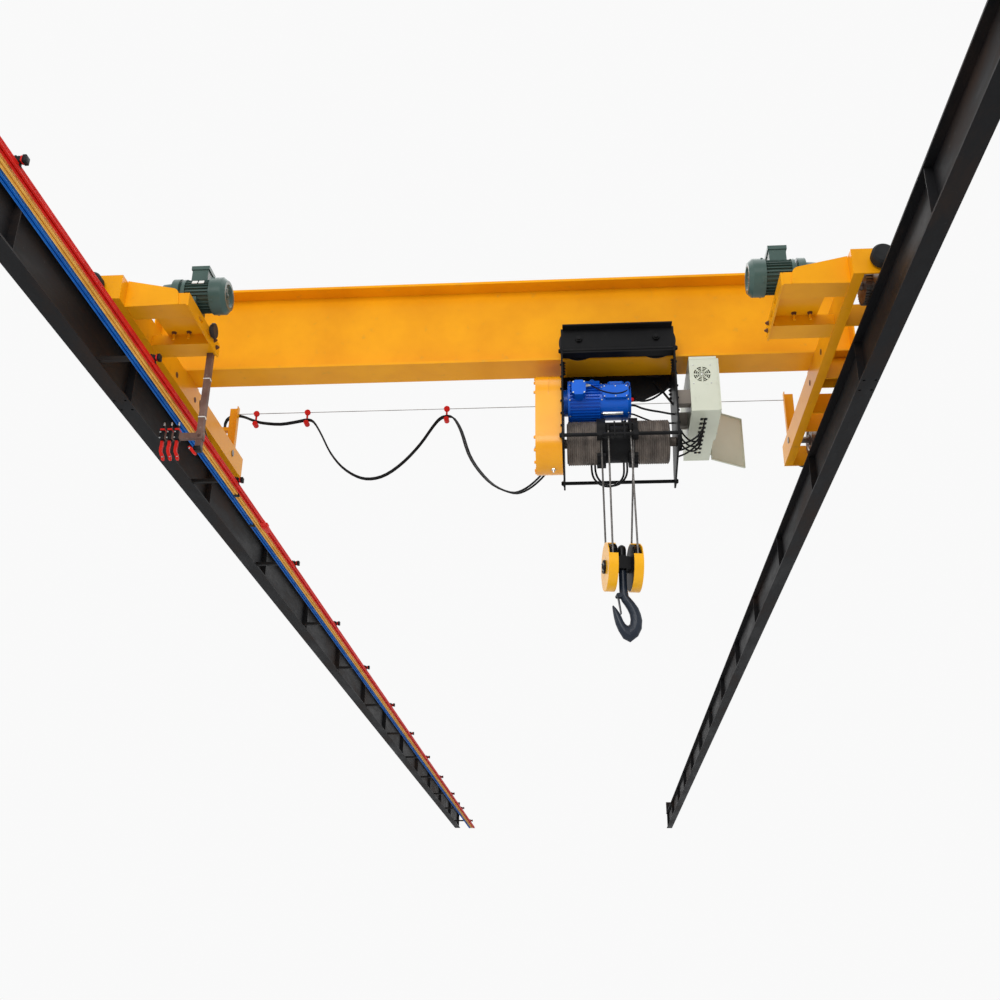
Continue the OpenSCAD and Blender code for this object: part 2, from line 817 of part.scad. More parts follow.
module hoist_motor() {
    r = motor_d / 2;
    fins_end = -125;
    color([0.02, 0.2, 0.75]) trolley_at() translate([0, 0, motor_z]) {
        turned_x(0, 0, [[0, -inner], [90, -inner], [90, -inner + 28], [r + 23, -inner + 28],
            [r + 23, -inner + 44], [r + 5, -inner + 44], [r + 5, fins_end], [r, fins_end],
            [r, 60], [r - 15, 81], [0, 81]]);
        cooling_fins(-inner + 43, fins_end, r + 5, r + 21, 40, 4);
        // terminal box and brake cover, facing the front
        rotate([88, 0, 0]) {
            translate([102 - inner, 0, r - 20]) linear_extrude(97) cut_corners(84, 101, 20);
            translate([102 - inner, 0, r + 66]) linear_extrude(18) cut_corners(92, 109, 22);
            translate([-22, 0, r - 12]) linear_extrude(34) cut_corners(172, 96, 20);
        }
        // pad and lifting eyes on top
        translate([-15, 0, r - 10]) linear_extrude(26) cut_corners(110, 70, 14);
        lifting_eye(-173, r + 19);
        lifting_eye(64, r - 4);
    }
}

module lifting_eye(x, z) {
    translate([x, 0, z]) rotate([90, 0, 0]) difference() {
        translate([0, 14, -6]) cylinder(r = 18, h = 12);
        translate([0, 17, -7]) cylinder(r = 9, h = 14);
    }
}

module gear_case() {
    color([0.97, 0.66, 0.03]) trolley_at() {
        rod_x(-half - gear_w, -half, 0, motor_z, gear_r);
        rod_x(-half - gear_w, -half, 0, case_low, gear_r);
        box(-half - gear_w, -half, -gear_r, gear_r, case_low, motor_z);
    }
}

// Grooved drum with the rope wound on it from both ends
function wound(x0, turns) =
    [for (k = [0 : turns - 1], a = [-70, -35, 0, 35, 70])
        [drum_core + rope_d / 2 + rope_d / 2 * cos(a),
            x0 + (k + 0.5) * rope_pitch + rope_d / 2 * sin(a)]];

module rope_drum() {
    bare0 = drum_x0 + turns_left * rope_pitch;
    bare1 = drum_x1 - turns_right * rope_pitch;
    core = drum_core - 0.5;
    color([0.28, 0.27, 0.26]) trolley_at()
        turned_x(0, drum_z, concat(
            [[0, -half + 2], [31, -half + 2], [31, drum_x0 - 6], [drum_core, drum_x0 - 6],
                [drum_core, drum_x0]],
            wound(drum_x0, turns_left),
            [[core, bare0 + 1], [core, bare1 - 1]],
            wound(bare1, turns_right),
            [[drum_core, drum_x1 + 4], [31, drum_x1 + 4], [31, half + 16], [0, half + 16]]));
}

module guide_ring(x, ear_x) {
    translate([x - guide_w / 2, 0, 0]) {
        difference() {
            rod_x(0, guide_w, 0, drum_z, guide_r);
            rod_x(-1, guide_w + 1, 0, drum_z, guide_in);
            // window for the rope, and a flat on top under the motor
            box(-1, guide_w + 1, -guide_r - 1, 42 - drum_core, drum_z - guide_r - 1,
                drum_z - 10);
            box(-1, guide_w + 1, -guide_r, guide_r, drum_z + guide_in + 5,
                drum_z + guide_r + 1);
        }
        box(0, guide_w, -25, 25, guide_low, drum_z - guide_in - 5);
        difference() {
            box(ear_x, ear_x + 34, rod2[0] - 22, -guide_in - 2, rod2[1] - 16, rod2[1] + 16);
            rod_x(-1, guide_w + 1, rod2[0], rod2[1], rod_d / 2);
        }
    }
}

module rope_guides() {
    color([0.04, 0.04, 0.045]) trolley_at() {
        guide_ring(guide_left, 0);
        guide_ring(guide_right, guide_w - 34);
    }
}

module rope_anchor() {
    color([0.05, 0.05, 0.055]) trolley_at() {
        rod_x(anchor_left - 18, anchor_right + 18, anchor_y, anchor_z, 11);
        for (x = [anchor_left, anchor_right])
            translate([x, anchor_y, anchor_z - 46]) cylinder(r = 13, h = 46);
        for (x = [anchor_left + 40, anchor_right - 40])
            translate([x - 5, 0, 0]) difference() {
                rotate([90, 0, 90]) linear_extrude(10)
                    polygon([[rod2[0] - 20, rod2[1] - 18], [rod2[0] + 20, rod2[1] - 18],
                        [anchor_y + 16, anchor_z + 14], [anchor_y - 16, anchor_z + 14]]);
                rod_x(-1, 11, rod2[0], rod2[1], rod_d / 2);
            }
    }
}

// Control panel on the outer side of the right side plate
panel_x0 = half + panel_gap;
panel_x1 = panel_x0 + panel_w;
panel_y1 = panel_y0 + panel_d;
panel_z0 = panel_z1 - panel_h;
fan_z = panel_z1 - 132;

module fan_slots() {
    for (r = [14, 26, 38, 50], k = [0 : 7])
        rotate([0, 0, k * 45 + 6]) rotate_extrude(angle = 33)
            translate([r - 4, -1]) square([8, panel_t + 2]);
}

module control_panel() {
    t = panel_t;
    color([0.82, 0.83, 0.74]) trolley_at() {
        translate([panel_x1 + 2 + door_t, panel_y1, 0]) hinge_lugs();
        // closed cover on the front part of the outer side
        box(panel_x1 - eps, panel_x1 + door_t, panel_y0 + 4, panel_y1 - door_w - 12,
            panel_z0 + 8, panel_z1 - 14);
        difference() {
            box(panel_x0, panel_x1, panel_y0, panel_y1, panel_z0, panel_z1);
            box(panel_x0 + t, panel_x1 - t, panel_y0 + t, panel_y1 - t, panel_z0 + t,
                panel_z1 - t);
            // round grille in the front
            translate([(panel_x0 + panel_x1) / 2 - 8, panel_y0 + t, fan_z]) rotate([90, 0, 0])
                fan_slots();
            // row of cable openings underneath
            for (k = [0 : 8])
                translate([panel_x0 + panel_w / 2, panel_y0 + 120 + k * 62, panel_z0 - 1])
                    translate([-16, -9, 0]) cube([32, 18, t + 2]);
            // doorway
            box(panel_x1 - t - 1, panel_x1 + 1, panel_y1 - door_w + 18, panel_y1 - 16,
                panel_z0 + 18, panel_z1 - 18);
        }
    }
}

// Door hinges: a pin and its lugs on the panel, a barrel on the door
hinge_z = [panel_z0 + 50, panel_z1 - 90];

module hinge_lugs() {
    for (z = hinge_z) {
        translate([0, 0, z - lug_t]) cylinder(d = hinge_pin, h = barrel_l + 2 * lug_t);
        for (lz = [z - lug_t, z + barrel_l + hinge_play]) {
            translate([0, 0, lz]) cylinder(d = 2 * hinge_pin, h = lug_t - hinge_play);
            box(-2 - door_t - 20, 0, 0.5, hinge_pin, lz, lz + lug_t - hinge_play);
            box(-2 - door_t - 20, -2 - door_t, -eps, 1, lz, lz + lug_t - hinge_play);
        }
    }
}

module panel_bracket() {
    color([0.42, 0.38, 0.34]) trolley_at()
        for (y = [panel_y0 + 10, 120])
            box(half, panel_x0, y, y + 60, panel_z0 + 60, panel_z0 + 160);
}

module panel_door() {
    t = panel_t;
    color([0.82, 0.83, 0.74]) trolley_at()
        translate([panel_x1 + 2 + door_t, panel_y1, 0]) rotate([0, 0, door_open]) difference() {
            union() {
                difference() {
                    box(-door_t, 0, -door_w, 0, panel_z0 + 4, panel_z1 - 4);
                    box(-door_t - 1, -t, -door_w + t, -t, panel_z0 + 4 + t, panel_z1 - 4 - t);
                }
                for (z = hinge_z)
                    translate([0, 0, z + hinge_play]) cylinder(d = 2 * hinge_pin, h = barrel_l - hinge_play);
            }
            for (z = hinge_z) {
                translate([0, 0, z - 1]) cylinder(d = hinge_pin + 2 * hinge_play, h = barrel_l + 2);
                for (lz = [z - lug_t - 4, z + barrel_l])
                    translate([0, 0, lz]) cylinder(d = 2 * hinge_pin + 5, h = lug_t + 4);
            }
        }
}

// Hoist rope falls between the drum or anchor and the sheaves
module fall(a, b) {
    d = b - a;
    translate(a) rotate([0, acos(d[2] / norm(d)), atan2(d[1], d[0])])
        cylinder(d = rope_d, h = norm(d), $fn = 16);
}

function block_point(x, y, z) =
    [block_x + x * cos(block_yaw) - y * sin(block_yaw),
        x * sin(block_yaw) + y * cos(block_yaw), block_z + z];

module rope_falls() {
    s = sheave_gap / 2;
    fall_y = -fall_r * cos(fall_angle);
    fall_z = drum_z - fall_r * sin(fall_angle);
    low_y = sheave_r * cos(fall_angle);
    low_z = sheave_r * sin(fall_angle);
    color([0.33, 0.32, 0.31]) trolley_at() {
        fall([anchor_left, anchor_y, anchor_z - socket_l], block_point(-s, -sheave_r, 0));
        fall([anchor_right, anchor_y, anchor_z - socket_l], block_point(s, -sheave_r, 0));
        fall([guide_left, fall_y, fall_z], block_point(-s, low_y, low_z));
        fall([guide_right, fall_y, fall_z], block_point(s, low_y, low_z));
    }
}

// Hook block, drawn about the sheave axle
block_axle = 36;
block_half = (sheave_gap + cover_w) / 2;
cover_in = (sheave_gap - cover_w) / 2;

module sheave_cover(s) {
    r = cover_d / 2;
    side(s) difference() {
        rod_x(cover_in, block_half, 0, 0, r);
        rod_x(cover_in - 1, block_half - cover_t, 0, 0, r - cover_t);
        rod_x(cover_in - 1, block_half + 1, 0, 0, block_axle / 2);
        // openings for the rope at the front and the back
        for (y = [-1, 1])
            scale([1, y, 1])
                box(cover_in - 1, block_half - cover_t, sheave_r - 60, r + 1, 0.27 * r, r + 1);
    }
}

module sheave_covers() {
    color([0.97, 0.66, 0.03]) block_at() {
        sheave_cover(-1);
        sheave_cover(1);
    }
}

module sheave(x) {
    w = sheave_w / 2;
    g = sheave_r - rope_d / 2 - 1.2;
    hub = block_axle / 2;
    turned_x(0, 0, [[hub + 1, x - w], [hub + 20, x - w], [hub + 24, x - w + 12],
        [g - 18, x - w + 12], [g - 12, x - w], [sheave_r + 8, x - w],
        [sheave_r + 8, x - w + 3], [g, x - 8.5], [g, x + 8.5], [sheave_r + 8, x + w - 3],
        [sheave_r + 8, x + w], [g - 12, x + w], [g - 18, x + w - 12],
        [hub + 24, x + w - 12], [hub + 20, x + w], [hub + 1, x + w]]);
}

module block_sheaves() {
    color([0.06, 0.06, 0.065]) block_at() {
        sheave(-sheave_gap / 2);
        sheave(sheave_gap / 2);
    }
}

module crosshead() {
    top = 60;
    color([0.05, 0.05, 0.055]) block_at() difference() {
        union() {
            rod_x(-block_half - 8, block_half + 8, 0, 0, block_axle / 2);
            box(2 - cover_in, cover_in - 2, -45, 45, head_low, top);
            translate([0, 0, top - 1]) cylinder(r = 36, h = 14, $fn = 6);
            // domed nut
            translate([0, 0, top - 1]) rotate_extrude()
                polygon([[0, 0], [27, 0], [27, 62], [23, 78], [13, 88], [0, 91]]);
            for (s = [-1, 1])
                side(s) rod_x(block_half, block_half + 14, 0, 0, 44);
        }
        translate([0, 0, head_low - 1]) cylinder(r = 16, h = 38);
    }
}

// Hook: oval sections between an inner and an outer edge
function hook_ring(row) =
    let (w = [row[2] - row[0], 0, row[3] - row[1]] / 2,
        c = [row[2] + row[0], 0, row[3] + row[1]] / 2)
    [for (i = [0 : hook_sides - 1])
        let (a = i * 360 / hook_sides)
        c + w * cos(a) + [0, row[4] / 2 * sin(a), 0]];

// Closed skin over a list of rings of equal length
module skin(rings) {
    n = len(rings[0]);
    m = len(rings);
    points = [for (r = rings) for (p = r) p];
    walls = [for (k = [0 : m - 2], i = [0 : n - 1])
        each [[k * n + i, k * n + (i + 1) % n, (k + 1) * n + (i + 1) % n],
            [k * n + i, (k + 1) * n + (i + 1) % n, (k + 1) * n + i]]];
    first = [for (i = [n - 1 : -1 : 0]) i];
    last = [for (i = [0 : n - 1]) (m - 1) * n + i];
    polyhedron(points, concat(walls, [first], [last]));
}

module hook() {
    color([0.07, 0.09, 0.12]) block_at() difference() {
        union() {
            skin([for (row = hook_rows) hook_ring(row)]);
            translate([0, 0, head_low - 4]) cylinder(r = 15, h = 34);
            // ears for the latch pin
            for (y = [-1, 1])
                scale([1, y, 1]) {
                    rod_y(latch_x, 16, 22, latch_z, 13);
                    box(latch_x, -10, 16, 22, latch_z - 13, latch_z + 13);
                }
        }
        rod_y(latch_x, -30, 30, latch_z, 5);
    }
}

module hook_latch() {
    color([0.1, 0.11, 0.13]) block_at() {
        rod_y(latch_x, -24, 24, latch_z, 4.6);
        rod_y(latch_x, -15, 15, latch_z, 9);
        translate([0, 13, 0]) rotate([90, 0, 0]) linear_extrude(26)
            polygon([[latch_x - 4, latch_z], [latch_x + 14, latch_z - 120],
                [latch_x + 20, latch_z - 118], [latch_x + 5, latch_z]]);
    }
}

module tube(route, d, n) {
    m = len(route) - 1;
    skin([for (k = [0 : m])
        let (v = route[min(k + 1, m)] - route[max(k - 1, 0)],
            t = v / norm(v),
            s = cross([1, 1, 0], t),
            e1 = s / norm(s),
            e2 = cross(t, e1))
        [for (i = [0 : n - 1])
            route[k] + d / 2 * (cos(i * 360 / n) * e1 + sin(i * 360 / n) * e2)]]);
}

// Smooth route through the chosen points
function between(a, b, c, d, t) =
    0.5 * ((2 * b) + (c - a) * t + (2 * a - 5 * b + 4 * c - d) * t * t
        + (3 * b - a - 3 * c + d) * t * t * t);

function smooth(p, n) =
    [for (k = [0 : len(p) - 2], i = [0 : n - 1])
        between(p[max(k - 1, 0)], p[k], p[k + 1], p[min(k + 2, len(p) - 1)], i / n),
        p[len(p) - 1]];

// The same route moved sideways by d, level and square to its run; its ends may stand upright
function beside(route, d) =
    let (m = len(route) - 1)
    [for (k = [0 : m])
        let (v = route[min(k + 3, m)] - route[max(k - 3, 0)], n = norm([v[0], v[1]]))
        route[k] + d * [-v[1] / n, v[0] / n, 0]];

module front_festoon_cable() {
    color([0.03, 0.03, 0.03]) bridge_at()
        tube(smooth(beside(cable_route, -cable_gap / 2), 2), cable_d, 10);
}

module rear_festoon_cable() {
    color([0.03, 0.03, 0.03]) bridge_at()
        tube(smooth(beside(cable_route, cable_gap / 2), 2), cable_d, 10);
}

left_runway_beam();
right_runway_beam();
rails();
runway_end_stops();
conductor_bar_blue();
conductor_bar_yellow();
conductor_bar_red();
conductor_brackets();
bridge_girder();
left_end_carriage();
right_end_carriage();
end_buffers();
left_drive_platform();
right_drive_platform();
left_drive_motor();
right_drive_motor();
collector_mast();
current_collectors();
festoon_posts();
festoon_wire();
cable_carriers();
front_festoon_cable();
rear_festoon_cable();
left_drive_wheel();
left_idle_wheel();
right_drive_wheel();
right_idle_wheel();
trolley_plates();
side_plates();
tie_rods();
hoist_motor();
gear_case();
rope_guides();
rope_anchor();
front_left_trolley_wheel();
front_right_trolley_wheel();
rear_left_trolley_wheel();
rear_right_trolley_wheel();
rope_drum();
panel_bracket();
control_panel();
panel_door();
rope_falls();
sheave_covers();
block_sheaves();
crosshead();
hook();
hook_latch();
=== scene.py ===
import json
import math

import bmesh
import bpy
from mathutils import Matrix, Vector


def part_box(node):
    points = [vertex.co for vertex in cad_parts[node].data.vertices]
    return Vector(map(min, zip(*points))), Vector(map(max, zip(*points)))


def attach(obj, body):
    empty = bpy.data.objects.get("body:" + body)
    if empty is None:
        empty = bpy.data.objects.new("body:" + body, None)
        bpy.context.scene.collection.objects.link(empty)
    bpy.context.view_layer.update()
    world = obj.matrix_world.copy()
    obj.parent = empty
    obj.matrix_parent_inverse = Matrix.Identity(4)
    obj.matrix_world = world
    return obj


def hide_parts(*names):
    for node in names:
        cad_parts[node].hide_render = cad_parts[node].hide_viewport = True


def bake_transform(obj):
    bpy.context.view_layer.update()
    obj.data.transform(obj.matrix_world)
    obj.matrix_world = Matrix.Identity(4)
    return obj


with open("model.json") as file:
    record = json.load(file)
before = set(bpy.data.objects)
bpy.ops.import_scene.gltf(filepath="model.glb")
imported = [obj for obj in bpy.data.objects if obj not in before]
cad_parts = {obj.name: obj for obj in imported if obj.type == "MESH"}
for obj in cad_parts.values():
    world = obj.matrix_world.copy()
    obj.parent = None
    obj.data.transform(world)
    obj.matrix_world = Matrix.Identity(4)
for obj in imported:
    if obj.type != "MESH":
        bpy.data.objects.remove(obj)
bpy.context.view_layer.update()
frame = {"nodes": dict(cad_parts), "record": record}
NODES = frame["nodes"]

# Camera
# The photograph is taken from the hall floor, looking up along the runway.
CAMERA_AT = (2.878, -6.107, -3.397)
CAMERA_TURN = (113.72, -0.63, 4.29)  # degrees
FOCAL_MM = 40.8
SENSOR_MM = 36

# Places
# Points are given in millimetres, in the frame of the bridge, the trolley or the runway.
GIRDER_LOW, GIRDER_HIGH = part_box("bridge_girder")
MID_X = (GIRDER_LOW.x + GIRDER_HIGH.x) / 2
BRIDGE_Y = (GIRDER_LOW.y + GIRDER_HIGH.y) / 2
UNDERSIDE_Z = GIRDER_LOW.z
CARRIAGE_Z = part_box("left_end_carriage")[0].z
TROLLEY_X = sum(p.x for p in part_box("trolley_plates")) / 2
RAIL_XS = (0, 4600)


def make_camera():
    camera = bpy.data.objects.new("camera", bpy.data.cameras.new("camera"))
    bpy.context.scene.collection.objects.link(camera)
    camera.location = CAMERA_AT
    camera.rotation_euler = [math.radians(a) for a in CAMERA_TURN]
    camera.data.lens = FOCAL_MM
    camera.data.sensor_width = SENSOR_MM
    camera.data.clip_end = 200
    bpy.context.scene.camera = camera
    bpy.context.scene.view_settings.view_transform = "Standard"


def bridge(x, y, z):
    """A point from mid span, the girder line and the carriage underside."""
    return Vector((MID_X + x / 1000, BRIDGE_Y + y / 1000, CARRIAGE_Z + z / 1000))


def trolley(x, y, z):
    """A point from the trolley centre, at the underside of the girder."""
    return Vector((TROLLEY_X + x / 1000, BRIDGE_Y + y / 1000, UNDERSIDE_Z + z / 1000))


def runway(x, y, z):
    return Vector((x / 1000, y / 1000, z / 1000))


# Shapes, in metres
def turned(builder, at, along, profile, sides=24):
    """A solid of revolution: each step is (radius, distance along the axis)."""
    turn = Vector(along).to_track_quat("Z", "Y")
    rings = []
    for radius, height in profile:
        count = sides if radius > 1e-6 else 1
        step = 2 * math.pi / sides
        rings.append([builder.verts.new(at + turn @ Vector((
            radius * math.cos(step * k), radius * math.sin(step * k), height))) for k in range(count)])
    for a, b in zip(rings, rings[1:]):
        for k in range(sides):
            j = k + 1
            corners = dict.fromkeys((a[k % len(a)], a[j % len(a)], b[j % len(b)], b[k % len(b)]))
            if len(corners) > 2:
                builder.faces.new(list(corners))


def disc(radius, height, start=0):
    """The profile of a short closed cylinder."""
    return [(0, start), (radius, start), (radius, start + height), (0, start + height)]


def bolt(builder, at, along, size=0.024, stub=True):
    """A hex head or nut on a washer, with the end of its thread."""
    r = size / 2
    washer, flat, top, end = (size * share for share in (0.1, 0.5, 0.58, 0.86))
    turned(builder, at, along, disc(r * 1.25, washer), 16)
    turned(builder, at, along, [(0, washer), (r, washer), (r, flat), (r * 0.84, top), (0, top)], 6)
    if stub:
        turned(builder, at, along, [(r * 0.5, flat), (r * 0.5, size * 0.8), (r * 0.42, end), (0, end)], 12)


def screw(builder, at, along, radius=0.005, proud=0.003):
    """A low round screw head with a rounded rim."""
    profile = [(0, 0), (radius, 0), (radius, proud * 0.6), (radius * 0.7, proud), (0, proud)]
    turned(builder, at, along, profile, 12)


def ring(builder, at, along, radius, thickness, sides=32):
    """A round hoop about an axis; thickness is the radius of its wire."""
    turns = [2 * math.pi * k / 8 for k in range(9)]
    profile = [(radius + thickness * math.cos(t), thickness * math.sin(t)) for t in turns]
    turned(builder, at, along, profile, sides)


def block(builder, low, high, edge=0.0015, turn=None):
    """A box with rounded edges, turned about its centre."""
    made = bmesh.ops.create_cube(builder, size=1)["verts"]
    middle, size = (low + high) / 2, high - low
    for vert in made:
        offset = Vector(c * s for c, s in zip(vert.co, size))
        vert.co = middle + (turn @ offset if turn else offset)
    edges = list({e for v in made for e in v.link_edges})
    bmesh.ops.bevel(builder, geom=edges, offset=edge, segments=2, profile=0.5, affect="EDGES")


def smooth_route(points, steps):
    """Points on the smooth curve through the given ones, as in the part's source."""
    route = []
    last = len(points) - 1
    for k in range(last):
        a, b, c, d = points[max(k - 1, 0)], points[k], points[k + 1], points[min(k + 2, last)]
        for i in range(steps):
            t = i / steps
            route.append(0.5 * (2 * b + (c - a) * t + (2 * a - 5 * b + 4 * c - d) * t * t
                                + (3 * b - a - 3 * c + d) * t ** 3))
    return route + [points[-1]]


def skin(builder, rings):
    """Faces between rings of equally many points, with both ends closed."""
    sides = len(rings[0])
    for a, b in zip(rings, rings[1:]):
        for i in range(sides):
            j = (i + 1) % sides
            builder.faces.new((a[i], a[j], b[j], b[i]))
    builder.faces.new(rings[0][::-1])
    builder.faces.new(rings[-1])


def tube(builder, route, diameter, sides=12):
    """A round tube along a route."""
    rings, side, last = [], None, len(route) - 1
    turns = [2 * math.pi * i / sides for i in range(sides)]
    for k, point in enumerate(route):
        along = (route[min(k + 1, last)] - route[max(k - 1, 0)]).normalized()
        if side is None:
            side = along.orthogonal().normalized()
        side = (side - along * side.dot(along)).normalized()
        other = along.cross(side)
        rings.append([builder.verts.new(point + diameter / 2 * (side * math.cos(t) + other * math.sin(t)))
                      for t in turns])
    skin(builder, rings)


def ribbon(builder, outline, thickness, at, across):
    """A plate from an outline of (x, z) in millimetres; across is the direction of its thickness."""
    flat = [at + Vector((x / 1000, 0, z / 1000)) for x, z in outline]
    sides = [[builder.verts.new(p + across * thickness * half) for p in flat] for half in (-0.5, 0.5)]
    skin(builder, sides)


def piece(name, builder, material, body, sharp=32):
    """Makes the mesh with a material, and lets it ride on a body."""
    bmesh.ops.recalc_face_normals(builder, faces=builder.faces)
    mesh = bpy.data.meshes.new(name)
    builder.to_mesh(mesh)
    builder.free()
    mesh.shade_smooth()
    mesh.set_sharp_from_angle(angle=math.radians(sharp))
    made = bpy.data.objects.new(name, mesh)
    bpy.context.scene.collection.objects.link(made)
    mesh.materials.append(MATERIALS[material])
    if body:
        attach(made, body)
    return made


# Materials
def noise(tree, scale, detail=4.0, rough=0.55, stretch=(1, 1, 1)):
    """The value of a noise in row-frame metres."""
    coords = tree.nodes.new("ShaderNodeTexCoord")
    mapping = tree.nodes.new("ShaderNodeMapping")
    mapping.inputs["Scale"].default_value = stretch
    texture = tree.nodes.new("ShaderNodeTexNoise")
    texture.inputs["Scale"].default_value = scale
    texture.inputs["Detail"].default_value = detail
    texture.inputs["Roughness"].default_value = rough
    tree.links.new(coords.outputs["Object"], mapping.inputs["Vector"])
    tree.links.new(mapping.outputs["Vector"], texture.inputs["Vector"])
    return texture.outputs["Fac"]


def ramp(tree, value, low, high, dark=0.0, bright=1.0):
    """The value spread between two levels and cut off outside them."""
    node = tree.nodes.new("ShaderNodeMapRange")
    for name, number in (("From Min", low), ("From Max", high), ("To Min", dark), ("To Max", bright)):
        node.inputs[name].default_value = number
    tree.links.new(value, node.inputs["Value"])
    return node.outputs["Result"]


def mix(tree, factor, a, b):
    """Colour a where the factor is 0, b where it is 1."""
    node = tree.nodes.new("ShaderNodeMix")
    node.data_type = "RGBA"
    tree.links.new(factor, node.inputs["Factor"])
    for socket, colour in ((node.inputs["A"], a), (node.inputs["B"], b)):
        if isinstance(colour, tuple):
            socket.default_value = (*colour, 1)
        else:
            tree.links.new(colour, socket)
    return node.outputs["Result"]


def bump(tree, shader, height, distance, strength):
    node = tree.nodes.new("ShaderNodeBump")
    node.inputs["Strength"].default_value = strength
    node.inputs["Distance"].default_value = distance
    tree.links.new(height, node.inputs["Height"])
    tree.links.new(node.outputs["Normal"], shader.inputs["Normal"])


def new_material(name, metallic=0.0, coat=0.0, gloss=0.3):
    material = bpy.data.materials.new(name)
    material.use_nodes = True
    shader = material.node_tree.nodes["Principled BSDF"]
    shader.inputs["Metallic"].default_value = metallic
    shader.inputs["Coat Weight"].default_value = coat
    shader.inputs["Coat Roughness"].default_value = 0.2
    shader.inputs["Specular IOR Level"].default_value = gloss
    return material, material.node_tree, shader


def enamel(name, colour, shade, rough=(0.28, 0.42), coat=0.0, scale=3.0, dusty=None, gloss=0.3):
    """Brushed or sprayed paint: broad tone changes, dust in patches and a fine orange peel."""
    material, tree, shader = new_material(name, coat=coat, gloss=gloss)
    tone = mix(tree, ramp(tree, noise(tree, scale), 0.32, 0.68), colour, shade)
    patches = ramp(tree, noise(tree, scale * 4, detail=8, rough=0.65), 0.62, 0.74)
    tree.links.new(mix(tree, patches, tone, dusty or shade), shader.inputs["Base Color"])
    tree.links.new(ramp(tree, patches, 0, 1, *rough), shader.inputs["Roughness"])
    bump(tree, shader, noise(tree, 180, detail=2), 0.0006, 0.25)
    return material


def weathered(name, paint, rust):
    """Thin black paint on rolled steel with rust blooming through and mill scale."""
    material, tree, shader = new_material(name, gloss=0.12)
    streaks = noise(tree, 2.2, detail=8, rough=0.68, stretch=(1, 0.35, 1.6))
    tone = mix(tree, ramp(tree, streaks, 0.5, 0.72), paint, rust)
    scale_marks = ramp(tree, noise(tree, 26, detail=6, rough=0.7), 0.64, 0.74)
    tone = mix(tree, scale_marks, tone, MILL_SCALE)
    tree.links.new(tone, shader.inputs["Base Color"])
    tree.links.new(ramp(tree, streaks, 0.35, 0.7, 0.45, 0.78), shader.inputs["Roughness"])
    bump(tree, shader, noise(tree, 90, detail=6, rough=0.7), 0.002, 0.3)
    return material


def metal(name, colour, shade, rough=(0.3, 0.5), scale=12.0, stretch=(1, 1, 1), metallic=1.0):
    """Bare steel in two tones with a fine grain."""
    material, tree, shader = new_material(name, metallic=metallic)
    value = noise(tree, scale, detail=6, stretch=stretch)
    tree.links.new(mix(tree, ramp(tree, value, 0.35, 0.65), colour, shade), shader.inputs["Base Color"])
    tree.links.new(ramp(tree, value, 0.3, 0.7, *rough), shader.inputs["Roughness"])
    bump(tree, shader, noise(tree, 240, detail=3), 0.0004, 0.3)
    return material


def plastic(name, colour, shade, rough=(0.4, 0.55)):
    """Moulded plastic, rubber or cable sheath with worn patches."""
    material, tree, shader = new_material(name, gloss=0.15)
    value = noise(tree, 8.0, detail=5)
    tree.links.new(mix(tree, ramp(tree, value, 0.4, 0.7), colour, shade), shader.inputs["Base Color"])
    tree.links.new(ramp(tree, value, 0.3, 0.7, *rough), shader.inputs["Roughness"])
    bump(tree, shader, noise(tree, 400, detail=2), 0.0003, 0.2)
    return material


YELLOW = (0.88, 0.375, 0.004)
YELLOW_SHADE = (0.78, 0.31, 0.003)
YELLOW_DUST = (0.66, 0.27, 0.012)
BLACK = (0.006, 0.006, 0.0065)
BLACK_SHADE = (0.011, 0.011, 0.0115)
MILL_SCALE = (0.05, 0.046, 0.046)
MATERIALS = {}


def finish(maker, name, colour, shade, **settings):
    MATERIALS[name] = maker(name, colour, shade, **settings)


def make_runway_finishes():
    finish(weathered, "runway_paint", (0.0085, 0.0085, 0.0095), (0.032, 0.02, 0.015))
    finish(weathered, "rail_steel", (0.035, 0.028, 0.025), (0.1, 0.06, 0.042))
    finish(plastic, "bar_blue", (0.002, 0.14, 0.52), (0.002, 0.1, 0.42))
    finish(plastic, "bar_yellow", (0.88, 0.5, 0.1), (0.76, 0.4, 0.06))
    finish(plastic, "bar_red", (0.72, 0.012, 0.004), (0.6, 0.01, 0.003))
    finish(weathered, "arm_paint", (0.009, 0.0085, 0.0085), (0.03, 0.02, 0.015))


def make_bridge_finishes():
    finish(enamel, "girder_paint", YELLOW, YELLOW_SHADE, dusty=(0.7, 0.33, 0.02), gloss=0.15)
    finish(enamel, "carriage_paint", YELLOW, YELLOW_SHADE, dusty=YELLOW_DUST, gloss=0.15)
    finish(enamel, "platform_paint", YELLOW, YELLOW_SHADE, dusty=YELLOW_DUST, gloss=0.15)
    finish(plastic, "buffer_rubber", (0.008, 0.008, 0.009), (0.02, 0.02, 0.02), rough=(0.55, 0.75))
    finish(enamel, "travel_motor_paint", (0.06, 0.105, 0.09), (0.042, 0.076, 0.066),
           dusty=(0.1, 0.14, 0.12))
    finish(enamel, "mast_primer", (0.11, 0.05, 0.036), (0.18, 0.105, 0.08), rough=(0.5, 0.7), scale=9,
           dusty=(0.27, 0.23, 0.2))
    finish(plastic, "collector_red", (0.62, 0.014, 0.008), (0.48, 0.01, 0.006))
    finish(metal, "wire_steel", (0.4, 0.4, 0.4), (0.25, 0.25, 0.25))
    finish(plastic, "carrier_red", (0.66, 0.012, 0.008), (0.5, 0.01, 0.006))
    finish(plastic, "cable_black", (0.004, 0.004, 0.0045), (0.009, 0.009, 0.01), rough=(0.4, 0.6))
    finish(metal, "wheel_steel", (0.3, 0.28, 0.26), (0.16, 0.12, 0.1))


